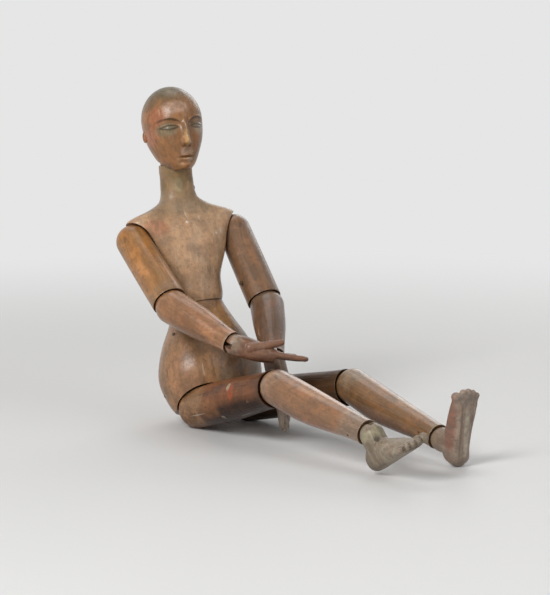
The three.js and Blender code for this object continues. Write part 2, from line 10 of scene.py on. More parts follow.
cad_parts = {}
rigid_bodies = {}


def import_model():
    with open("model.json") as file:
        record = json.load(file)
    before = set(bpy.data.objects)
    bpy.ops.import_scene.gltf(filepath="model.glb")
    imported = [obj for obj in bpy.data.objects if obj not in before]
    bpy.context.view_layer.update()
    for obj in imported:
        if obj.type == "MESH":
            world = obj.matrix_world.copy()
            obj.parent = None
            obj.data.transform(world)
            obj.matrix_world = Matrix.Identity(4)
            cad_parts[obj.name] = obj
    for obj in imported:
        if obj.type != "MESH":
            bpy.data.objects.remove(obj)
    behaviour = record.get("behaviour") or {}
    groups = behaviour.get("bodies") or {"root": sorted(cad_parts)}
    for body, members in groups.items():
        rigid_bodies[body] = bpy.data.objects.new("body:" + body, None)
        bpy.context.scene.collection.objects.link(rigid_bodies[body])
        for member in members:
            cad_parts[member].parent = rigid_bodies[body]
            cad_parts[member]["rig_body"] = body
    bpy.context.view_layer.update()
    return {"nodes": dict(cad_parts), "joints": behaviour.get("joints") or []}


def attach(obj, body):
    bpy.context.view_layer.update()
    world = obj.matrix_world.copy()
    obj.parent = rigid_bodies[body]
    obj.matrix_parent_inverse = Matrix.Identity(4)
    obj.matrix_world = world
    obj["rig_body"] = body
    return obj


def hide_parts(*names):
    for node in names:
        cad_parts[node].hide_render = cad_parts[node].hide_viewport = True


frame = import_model()
joints = {j["name"]: j for j in frame["joints"]}
mm = 0.001
restLevel = 0.00005  # metres above the floor, where a resting piece is worn flat

# clearances and fittings, the same numbers as the solids, in mm
gaps = {"ball": 0.4, "turning": 0.3}
bigFit = {"thick": 3.4, "blade": 2.2, "eye": 4.0, "pin": 1.3, "stem": 2.8, "stemLong": 14.0, "peg": 1.3}
shortFit = dict(bigFit, stemLong=9.0)
smallFit = {"thick": 2.4, "blade": 1.7, "eye": 2.8, "pin": 0.9, "stem": 2.0, "stemLong": 10.0, "peg": 0.9}
balls = {
    "neck": {"r": 9.2, "lean": 30, "slot": (-26, 26), "fit": bigFit},
    "waist": {"r": 16.5, "lean": 24, "slot": (-22, 22), "fit": bigFit},
    "shoulder": {"r": 10.3, "lean": 58, "slot": (-84, 20), "fit": shortFit},
    "elbow": {"r": 10.5, "lean": 47, "slot": (-46, 5), "fit": bigFit},
    "wrist": {"r": 6.2, "lean": 50, "slot": (-49, 49), "fit": smallFit},
    "hip": {"r": 12.2, "lean": 53, "slot": (-97, 5), "fit": bigFit},
    "knee": {"r": 10.6, "lean": 47, "slot": (-5, 46), "fit": bigFit},
    "ankle": {"r": 6.9, "lean": 58, "slot": (-30, 57), "fit": smallFit},
}
restPose = {  # degrees turned and bent at each joint
    "waist": (9.3, 0), "neck": (4, 8),
    "right_shoulder": (-46.9, 1), "left_shoulder": (33.5, -0.6),
    "right_elbow": (80, -21.5), "left_elbow": (-76, -26),
    "right_wrist": (164, 44), "left_wrist": (96, -44),
    "right_hip": (-5.2, -88.4), "left_hip": (12, -85.6),
    "right_knee": (-5, 26.8), "left_knee": (10.3, 27.6),
    "right_ankle": (-3, 50), "left_ankle": (-24, -5),
}
lie = {  # degrees: how the pelvis leans, and how the bores and slots lie in their pieces
    "pelvisLean": 18, "neckForward": 14, "shoulderDrop": 38, "shoulderForward": 15, "hipForward": 45, "wristSlot": 20,
}

# where each piece sits, found down the chain of joints
up, down = Vector((0, 0, 1)), Vector((0, 0, -1))
leftward = Vector((1, 0, 0))


def tipped(forward, upright):
    return Vector((0, -sin(radians(forward)), upright * cos(radians(forward))))


def shoulderOut(sideways):
    drop, forward = radians(lie["shoulderDrop"]), radians(lie["shoulderForward"])
    return Vector((sideways * cos(drop) * cos(forward), -cos(drop) * sin(forward), -sin(drop)))


links = [  # joint, upper piece, lower piece, way out of the bore, hinge
    ("waist", "pelvis", "chest", up, leftward),
    ("neck", "chest", "head", tipped(lie["neckForward"], 1), leftward),
]
slotTurn = radians(lie["wristSlot"])
for side, sideways in (("right", -1), ("left", 1)):
    out = shoulderOut(sideways)
    wristHinge = Vector((-sideways * sin(slotTurn), cos(slotTurn), 0))
    links += [
        (side + "_shoulder", "chest", side + "_upper_arm", out, out.cross(down).normalized()),
        (side + "_elbow", side + "_upper_arm", side + "_forearm", down, leftward),
        (side + "_wrist", side + "_forearm", side + "_hand", down, wristHinge),
        (side + "_hip", "pelvis", side + "_thigh", tipped(lie["hipForward"], -1), leftward),
        (side + "_knee", side + "_thigh", side + "_shin", down, leftward),
        (side + "_ankle", side + "_shin", side + "_foot", down, leftward),
    ]


def jointPlace(name):
    return Vector(joints[name + "_bend"]["pos_m"])


def basisOf(outward, hinge):
    into = -outward.normalized()
    across = hinge.normalized()
    return Matrix((across, into.cross(across), into)).transposed()


axes = {"pelvis": Matrix.Rotation(-radians(lie["pelvisLean"]), 3, "X")}
origin = {"pelvis": (jointPlace("right_hip") + jointPlace("left_hip")) / 2}
for name, above, below, outward, hinge in links:
    turn, bend = restPose[name]
    stem = axes[above] @ -outward.normalized()
    turned = Matrix.Rotation(radians(turn), 3, stem) @ axes[above]
    pivot = turned @ hinge.normalized()
    axes[below] = Matrix.Rotation(radians(bend), 3, pivot) @ turned
    origin[below] = jointPlace(name)
linkOf = {link[0]: link for link in links}
ballOf = {name: balls[name.split("_")[-1]] for name in linkOf}


def placeOf(piece):
    return Matrix.Translation(origin[piece]) @ axes[piece].to_4x4() @ Matrix.Scale(mm, 4)


def localSeat(above, name):  # centre of a joint in the upper piece's own mm
    return placeOf(above).inverted() @ jointPlace(name)


# mesh helpers
def meshObject(name, verts, faces):
    mesh = bpy.data.meshes.new(name)
    mesh.from_pydata([tuple(v) for v in verts], [], faces)
    mesh.validate()
    obj = bpy.data.objects.new(name, mesh)
    bpy.context.scene.collection.objects.link(obj)
    return obj


def dropObject(obj):
    mesh = obj.data
    bpy.data.objects.remove(obj)
    if mesh and mesh.users == 0:
        bpy.data.meshes.remove(mesh)


def freeze(obj):  # what the modifiers make becomes the mesh
    graph = bpy.context.evaluated_depsgraph_get()
    mesh = bpy.data.meshes.new_from_object(obj.evaluated_get(graph))
    old = obj.data
    obj.modifiers.clear()
    obj.data = mesh
    if old.users == 0:
        bpy.data.meshes.remove(old)
    return obj


def stack(name, rings, lowPoint, highPoint):  # closed skin over rings listed from below
    sides = len(rings[0])
    verts = [lowPoint] + [p for ring in rings for p in ring] + [highPoint]
    faces = []
    last = len(verts) - 1
    for s in range(sides):
        n = (s + 1) % sides
        faces.append((0, 1 + n, 1 + s))
        for r in range(len(rings) - 1):
            a, b = 1 + r * sides, 1 + (r + 1) * sides
            faces.append((a + s, a + n, b + n, b + s))
        top = 1 + (len(rings) - 1) * sides
        faces.append((last, top + s, top + n))
    return meshObject(name, verts, faces)


def lathe(name, profile, sides):  # (radius, height) from the low pole to the high pole
    rings = []
    for radius, z in profile[1:-1]:
        angles = [2 * pi * s / sides for s in range(sides)]
        rings.append([(radius * cos(a), radius * sin(a), z) for a in angles])
    return stack(name, rings, (0, 0, profile[0][1]), (0, 0, profile[-1][1]))


def globe(name, radius, steps, sides):
    arc = [pi * k / steps - pi / 2 for k in range(steps + 1)]
    return lathe(name, [(radius * cos(a), radius * sin(a)) for a in arc], sides)


def facesOutward(obj):
    bm = bmesh.new()
    bm.from_mesh(obj.data)
    bmesh.ops.recalc_face_normals(bm, faces=bm.faces)
    bm.to_mesh(obj.data)
    bm.free()
    return obj


def cut(obj, cutter, kind="DIFFERENCE"):
    mod = obj.modifiers.new("cut", "BOOLEAN")
    mod.operation = kind
    mod.solver = "MANIFOLD"
    mod.object = cutter
    freeze(obj)
    dropObject(cutter)
    return obj


def blendRemesh(obj, voxel, smooth):
    mod = obj.modifiers.new("skin", "REMESH")
    mod.mode = "VOXEL"
    mod.voxel_size = voxel
    soft = obj.modifiers.new("soft", "SMOOTH")
    soft.factor = 0.5
    soft.iterations = smooth
    return freeze(obj)


def joined(name, parts):
    bm = bmesh.new()
    for part in parts:
        bm.from_mesh(part.data)
        dropObject(part)
    mesh = bpy.data.meshes.new(name)
    bm.to_mesh(mesh)
    bm.free()
    obj = bpy.data.objects.new(name, mesh)
    bpy.context.scene.collection.objects.link(obj)
    return obj


def block(name, low, high):
    across, along, upward = zip(low, high)
    verts = [(x, y, z) for x in across for y in along for z in upward]
    faces = [(0, 1, 3, 2), (4, 6, 7, 5), (0, 4, 5, 1), (2, 3, 7, 6), (0, 2, 6, 4), (1, 5, 7, 3)]
    return meshObject(name, verts, faces)


def finishPiece(obj, piece, sharp=38):
    obj.data.transform(placeOf(piece))  # from the piece's own mm to the shared frame in metres
    for vert in obj.data.vertices:
        vert.co.z = max(vert.co.z, restLevel)
    obj.data.update()
    obj.data.materials.clear()
    obj.data.materials.append(woods[piece])
    obj.data.polygons.foreach_set("material_index", [0] * len(obj.data.polygons))
    obj.data.shade_smooth()
    obj.data.set_sharp_from_angle(angle=radians(sharp))
    obj.name = piece + "_carved"
    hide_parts(piece)
    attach(obj, piece)


# smooth curve through a few sections (z, width, depth, y), as in the solids
def sectionAt(sections, z):
    i = 0
    while i + 2 < len(sections) and z > sections[i + 1][0]:
        i += 1
    a, b = sections[i], sections[i + 1]
    before = sections[i - 1] if i > 0 else a
    after = sections[i + 2] if i + 2 < len(sections) else b
    span = b[0] - a[0]
    t = (z - a[0]) / span
    found = []
    for k in (1, 2, 3):
        startSlope = (b[k] - before[k]) / (b[0] - before[0])
        endSlope = (after[k] - a[k]) / (after[0] - a[0])
        rise = b[k] - a[k]
        sag, swell = startSlope * span - rise, rise - endSlope * span
        found.append(a[k] + t * rise + t * (1 - t) * ((1 - t) * sag + t * swell))
    return found


def superRing(width, depth, y, z, square=2.0, sides=96):
    points = []
    for s in range(sides):
        a = 2 * pi * (s + 0.5) / sides
        c, d = cos(a), sin(a)
        x = width * (abs(c) ** (2 / square)) * (1 if c >= 0 else -1)
        yy = depth * (abs(d) ** (2 / square)) * (1 if d >= 0 else -1)
        points.append((x, y + yy, z))
    return points


def sectionRings(sections, count, square, sides=96):
    low, high = sections[0][0], sections[-1][0]
    rings = []
    for i in range(count + 1):
        z = low + (high - low) * i / count
        width, depth, y = sectionAt(sections, z)
        rings.append(superRing(width, depth, y, z, square, sides))
    return rings


def rounded(points, size, steps=4):  # softens the corners of a profile marked for it
    soft = []
    for i, p in enumerate(points):
        if len(p) == 2 or i == 0 or i == len(points) - 1:
            soft.append(p[:2])
            continue
        before, after = Vector(points[i - 1][:2]), Vector(points[i + 1][:2])
        corner = Vector(p[:2])
        reach = size * p[2]
        a = corner + (before - corner).normalized() * min(reach, (before - corner).length * 0.45)
        b = corner + (after - corner).normalized() * min(reach, (after - corner).length * 0.45)
        for k in range(steps + 1):
            t = k / steps
            soft.append(tuple(a * (1 - t) ** 2 + corner * 2 * t * (1 - t) + b * t * t))
    return soft


# the hollow of a joint in its own frame: Z up the bore, opening towards -Z
def hollowProfile(ball, mouth, steps=10):
    radius = ball["r"] + gaps["ball"]
    lean = radians(ball["lean"])
    bore = ball["fit"]["stem"] + gaps["turning"]
    boreEnd = ball["r"] + 2 * gaps["ball"] + ball["fit"]["stemLong"] + 2 * gaps["turning"]
    edge = (radius * cos(lean), radius * sin(lean))
    reach = (mouth - edge[0]) / sin(lean)
    rim = (mouth, edge[1] - reach * cos(lean))
    topAngle = atan2(sqrt(radius * radius - bore * bore), bore)
    angles = [lean + (topAngle - lean) * k / steps for k in range(steps + 1)]
    arc = [(radius * cos(a), radius * sin(a)) for a in angles]
    return rim, arc, [(bore, boreEnd), (0, boreEnd)]


def hollowCutter(name, ball, reach):
    rim, arc, bore = hollowProfile(ball, reach)
    profile = [(0, rim[1]), rim] + arc + bore
    return lathe(name, profile, 72)


def slotCutter(name, ball):
    fit = ball["fit"]
    half = fit["blade"] + gaps["turning"]
    start, end = (radians(a) for a in ball["slot"])
    reach = 1.5 * ball["r"]

    def along(angle, distance, aside):
        return (distance * sin(angle) + aside * cos(angle), distance * cos(angle) - aside * sin(angle))

    outline = [along(start, 0, -half), along(start, reach, -half)]
    outline += [along(start + (end - start) * k / 6, 1.35 * reach, 0) for k in range(1, 6)]
    outline += [along(end, reach, half), along(end, 0, half)]
    room = fit["eye"] + gaps["turning"]
    middle = (start + end) / 2 + pi
    spread = pi / 2 + 0.2 - (end - start) / 2
    outline += [along(middle - spread + 2 * spread * k / 10, room, 0) for k in range(11)]
    thick = fit["thick"] / 2 + gaps["turning"]
    count = len(outline)
    verts = [(-thick, y, z) for y, z in outline] + [(thick, y, z) for y, z in outline]
    faces = [tuple(range(count)), tuple(range(2 * count - 1, count - 1, -1))]
    faces += [(k, k + count, (k + 1) % count + count, (k + 1) % count) for k in range(count)]
    return facesOutward(meshObject(name, verts, faces))


def cutSlot(obj, name):  # obj is in the lower piece's own mm
    cutter = slotCutter("slot", ballOf[name])
    cutter.data.transform(basisOf(*linkOf[name][3:]).to_4x4())
    return cut(obj, cutter)


def cutHollow(obj, name, reach, lean=None):  # obj is in the upper piece's own mm
    ball = dict(ballOf[name], lean=lean or ballOf[name]["lean"])
    cutter = hollowCutter("hollow", ball, reach)
    above, outward, hinge = linkOf[name][1], *linkOf[name][3:]
    cutter.data.transform(Matrix.Translation(localSeat(above, name)) @ basisOf(outward, hinge).to_4x4())
    return cut(obj, cutter)


print("frames ready for", len(axes), "pieces")

# nodes and groups shared by all the wood
def newTree(name, kind, inputs, outputs):
    tree = bpy.data.node_groups.new(name, kind)
    for way, sockets in (("OUTPUT", outputs), ("INPUT", inputs)):
        for label, sort, *value in sockets:
            socket = tree.interface.new_socket(name=label, in_out=way, socket_type="NodeSocket" + sort)
            if value:
                socket.default_value = value[0]
    return tree, tree.nodes.new("NodeGroupInput"), tree.nodes.new("NodeGroupOutput")


def fill(tree, node, values):  # inputs by name or place, each a link or a plain value
    for label, value in values.items():
        socket = node.inputs[label]
        if hasattr(value, "is_linked"):
            tree.links.new(value, socket)
        else:
            socket.default_value = (*value, 1) if socket.type == "RGBA" else value
    return node


def addNode(tree, sort, values=None, **settings):
    node = tree.nodes.new(sort)
    for label, setting in settings.items():
        setattr(node, label, setting)
    return fill(tree, node, values or {})


def mathNode(tree, kind, *values):
    return addNode(tree, "ShaderNodeMath", dict(enumerate(values)), operation=kind).outputs[0]


def times(tree, a, b):
    return mathNode(tree, "MULTIPLY", a, b)


def vectorNode(tree, kind, *values):
    node = addNode(tree, "ShaderNodeVectorMath", dict(enumerate(values)), operation=kind)
    return node.outputs["Value" if kind in ("LENGTH", "DOT_PRODUCT") else "Vector"]


def scaled(tree, vector, amount):
    return addNode(tree, "ShaderNodeVectorMath", {0: vector, "Scale": amount}, operation="SCALE").outputs["Vector"]


def drawn(tree, vector, share):  # a pattern drawn out along the piece
    return vectorNode(tree, "MULTIPLY", vector, (1, 1, share))


def noise(tree, vector, scale, detail, rough=0.55, distort=0.0):
    values = {"Vector": vector, "Scale": scale, "Detail": detail, "Roughness": rough, "Distortion": distort}
    return addNode(tree, "ShaderNodeTexNoise", values).outputs["Fac"]


def ramp(tree, value, low, high):
    values = {"Value": value, "From Min": low, "From Max": high}
    return addNode(tree, "ShaderNodeMapRange", values, interpolation_type="SMOOTHSTEP").outputs["Result"]


def mixColour(tree, factor, a, b):
    return addNode(tree, "ShaderNodeMix", {0: factor, 6: a, 7: b}, data_type="RGBA").outputs[2]


def newMaterial(name):
    mat = bpy.data.materials.new(name)
    mat.use_nodes = True
    return mat, mat.node_tree, mat.node_tree.nodes["Principled BSDF"]


pattern = {  # noise scales per metre, and how far each pattern is drawn out along the piece
    "broadFibre": 190, "broadDraw": 0.09, "fineFibre": 900, "fineDraw": 0.035,
    "grime": 420, "mottle": 165, "mottleDraw": 0.6, "apart": (0.31, 0.17, 0.53),
    "chip": 75, "chipPlaces": 45, "chipEdge": 900, "scratch": 420, "scratchDraw": 0.06,
    "crack": 150, "crackDraw": 0.045, "crackPlaces": 55, "crackPlaceDraw": 0.4, "patchEdge": 150,
}


def makeGrainGroup():  # long fibres up Z, in metres
    tree, start, end = newTree(
        "woodGrain", "ShaderNodeTree",
        [("Vector", "Vector"), ("Fibre", "Float", 1.0)],
        [("Streak", "Float"), ("Fibre Height", "Float")],
    )
    vector = start.outputs["Vector"]
    broad = noise(tree, drawn(tree, vector, pattern["broadDraw"]), pattern["broadFibre"], 5, 0.6, 0.6)
    fine = noise(tree, drawn(tree, vector, pattern["fineDraw"]), pattern["fineFibre"], 3, 0.6)
    streak = mathNode(tree, "ADD", times(tree, broad, 0.65), times(tree, fine, 0.35))
    height = times(tree, fine, start.outputs["Fibre"])
    fill(tree, end, {"Streak": ramp(tree, streak, 0.32, 0.68), "Fibre Height": height})
    return tree


def makePatinaGroup():  # broad clouds of darker polish and paler rubbed places
    tree, start, end = newTree(
        "handledPatina", "ShaderNodeTree",
        [("Vector", "Vector"), ("Cloud Size", "Float", 60.0)],
        [("Dark Cloud", "Float"), ("Rubbed", "Float"), ("Grime", "Float"), ("Mottle", "Float")],
    )
    vector, size = start.outputs["Vector"], start.outputs["Cloud Size"]
    moved = vectorNode(tree, "ADD", vector, pattern["apart"])
    mottle = noise(tree, drawn(tree, moved, pattern["mottleDraw"]), pattern["mottle"], 6, 0.6, 0.4)
    fill(tree, end, {
        "Dark Cloud": ramp(tree, noise(tree, vector, size, 4, 0.6, 0.3), 0.48, 0.72),
        "Rubbed": ramp(tree, noise(tree, moved, size, 6, 0.7, 0.5), 0.52, 0.74),
        "Grime": ramp(tree, noise(tree, vector, pattern["grime"], 5, 0.7), 0.45, 0.75),
        "Mottle": ramp(tree, mottle, 0.42, 0.66),
    })
    return tree


def makeNickGroup():  # small pale chips, fine scratches and dark drying cracks
    tree, start, end = newTree(
        "chipsAndNicks", "ShaderNodeTree",
        [("Vector", "Vector"), ("Amount", "Float", 1.0)],
        [("Chip", "Float"), ("Crack", "Float")],
    )
    vector = start.outputs["Vector"]
    cells = addNode(tree, "ShaderNodeTexVoronoi", {"Vector": vector, "Scale": pattern["chip"]})
    spot = ramp(tree, cells.outputs["Distance"], 0.16, 0.07)
    gate = ramp(tree, noise(tree, vector, pattern["chipPlaces"], 2), 0.56, 0.64)
    ragged = ramp(tree, noise(tree, vector, pattern["chipEdge"], 3), 0.35, 0.6)
    chip = times(tree, times(tree, spot, gate), ragged)
    scratch = noise(tree, drawn(tree, vector, pattern["scratchDraw"]), pattern["scratch"], 2)
    both = mathNode(tree, "MAXIMUM", chip, times(tree, ramp(tree, scratch, 0.7, 0.74), 0.5))
    wander = noise(tree, drawn(tree, vector, pattern["crackDraw"]), pattern["crack"], 2, 0.5, 0.5)
    split = ramp(tree, mathNode(tree, "ABSOLUTE", mathNode(tree, "SUBTRACT", wander, 0.5)), 0.013, 0.004)
    places = noise(tree, drawn(tree, vector, pattern["crackPlaceDraw"]), pattern["crackPlaces"], 2)
    crack = times(tree, split, ramp(tree, places, 0.53, 0.6))
    fill(tree, end, {"Chip": times(tree, both, start.outputs["Amount"]), "Crack": crack})
    return tree


def makeStainAndShadingGroup():  # one ragged patch of another tint, placed in the piece's own metres; used for real stains and for painted shade and highlights
    tree, start, end = newTree(
        "stainAndShadingPatch", "ShaderNodeTree",
        [("Vector", "Vector"), ("Centre", "Vector"), ("Reach", "Vector", (0.01, 0.01, 0.01)), ("Ragged", "Float", 0.6)],
        [("Mask", "Float")],
    )
    offset = vectorNode(tree, "SUBTRACT", start.outputs["Vector"], start.outputs["Centre"])
    far = vectorNode(tree, "LENGTH", vectorNode(tree, "DIVIDE", offset, start.outputs["Reach"]))
    edge = noise(tree, start.outputs["Vector"], pattern["patchEdge"], 5, 0.65)
    wobble = times(tree, mathNode(tree, "SUBTRACT", edge, 0.5), start.outputs["Ragged"])
    fill(tree, end, {"Mask": ramp(tree, mathNode(tree, "ADD", far, wobble), 1.15, 0.6)})
    return tree


grainGroup, patinaGroup = makeGrainGroup(), makePatinaGroup()
nickGroup, stainAndShadingGroup = makeNickGroup(), makeStainAndShadingGroup()


def addGroup(tree, group, values):
    return addNode(tree, "ShaderNodeGroup", values, node_tree=group)


def shade(tint, amount):
    return tuple(c * amount for c in tint)


woodFinish = {  # used where a piece's own look doesn't say otherwise
    "cloud": 78, "nicks": 0.7, "streak": 0.75, "mottled": 0.5, "rubbed": 0.5, "cloudy": 0.8, "grime": 0.58,
    "chipped": 0.8, "chip": (0.6, 0.5, 0.4), "cracks": 0.36, "stainsAndShading": (),
    "ragged": 0.6, "thinPatch": 1.4, "thinRagged": 0.12,  # a patch thinner than this, in mm, has cleaner edges
    "rough": 0.3, "duller": {"rubbed": 0.12, "grime": 0.16, "chip": 0.25},
    "relief": {"chip": -0.8, "grime": -0.45, "mottle": 0.7, "crack": -1.0}, "bump": 0.42, "bumpDeep": 0.0003,
    "shine": 0.26, "polish": 0.12, "polishRough": 0.2,
}


def makeWood(name, ownLook, place=None, lines=False):
    base = ownLook["base"]
    look = {
        **woodFinish, "deep": shade(base, 0.56), "glow": (base[0] * 1.25, base[1] * 1.02, base[2] * 0.8),
        "rub": shade(base, 1.5), "cloudTint": shade(base, 0.45), **ownLook,
    }
    mat, tree, shader = newMaterial(name)
    vector = addNode(tree, "ShaderNodeTexCoord").outputs["Object"]
    if place is not None:  # into the piece's own frame, so the fibres lie along it
        back = place[0].transposed()
        values = {"Vector": vector, "Rotation": back.to_euler("XYZ"), "Location": -(back @ place[1])}
        vector = addNode(tree, "ShaderNodeMapping", values).outputs["Vector"]
    grain = addGroup(tree, grainGroup, {"Vector": vector})
    patina = addGroup(tree, patinaGroup, {"Vector": vector, "Cloud Size": look["cloud"]})
    nicks = addGroup(tree, nickGroup, {"Vector": vector, "Amount": look["nicks"]})
    mask = {
        "mottle": patina.outputs["Mottle"], "cloud": patina.outputs["Dark Cloud"],
        "rubbed": patina.outputs["Rubbed"], "grime": patina.outputs["Grime"],
        "chip": nicks.outputs["Chip"], "crack": nicks.outputs["Crack"],
    }

    def over(colour, where, share, tint):
        return mixColour(tree, times(tree, where, share), colour, tint)

    def summed(value, shares):
        for label, share in shares.items():
            value = mathNode(tree, "ADD", value, times(tree, mask[label], share))
        return value

    colour = over(look["deep"], grain.outputs["Streak"], look["streak"], shade(base, 1.12))
    colour = over(colour, mask["mottle"], look["mottled"], look["glow"])
    colour = over(colour, mask["rubbed"], look["rubbed"], look["rub"])
    # real stains, and patches of painted shade and painted highlight
    for centre, reach, tint, amount in look["stainsAndShading"]:
        ragged = look["thinRagged" if min(reach) <= look["thinPatch"] else "ragged"]
        values = {"Vector": vector, "Centre": shade(centre, mm), "Reach": shade(reach, mm), "Ragged": ragged}
        patch = addGroup(tree, stainAndShadingGroup, values)
        tinted = mixColour(tree, mask["mottle"], shade(tint, 0.78), shade(tint, 1.18))
        colour = over(colour, patch.outputs["Mask"], amount, tinted)
    colour = over(colour, mask["cloud"], look["cloudy"], look["cloudTint"])
    colour = over(colour, mask["grime"], look["grime"], shade(base, 0.34))
    colour = over(colour, mask["chip"], look["chipped"], look["chip"])
    colour = over(colour, mask["crack"], look["cracks"], shade(base, 0.16))
    if lines:  # dirt and painted shade lying in the carved lines and hollows, from the piece's own attribute
        for label, tint in (("eyePale", look["eye"]), ("carvedShadeAndDirt", look["line"])):
            node = addNode(tree, "ShaderNodeAttribute", attribute_name=label)
            colour = mixColour(tree, node.outputs["Fac"], colour, tint)
    height = summed(grain.outputs["Fibre Height"], look["relief"])
    bump = addNode(tree, "ShaderNodeBump", {"Strength": look["bump"], "Distance": look["bumpDeep"], "Height": height})
    fill(tree, shader, {
        "Base Color": colour, "Roughness": summed(look["rough"], look["duller"]), "Normal": bump.outputs["Normal"],
        "Specular IOR Level": look["shine"], "Coat Weight": look["polish"], "Coat Roughness": look["polishRough"],
    })
    return mat
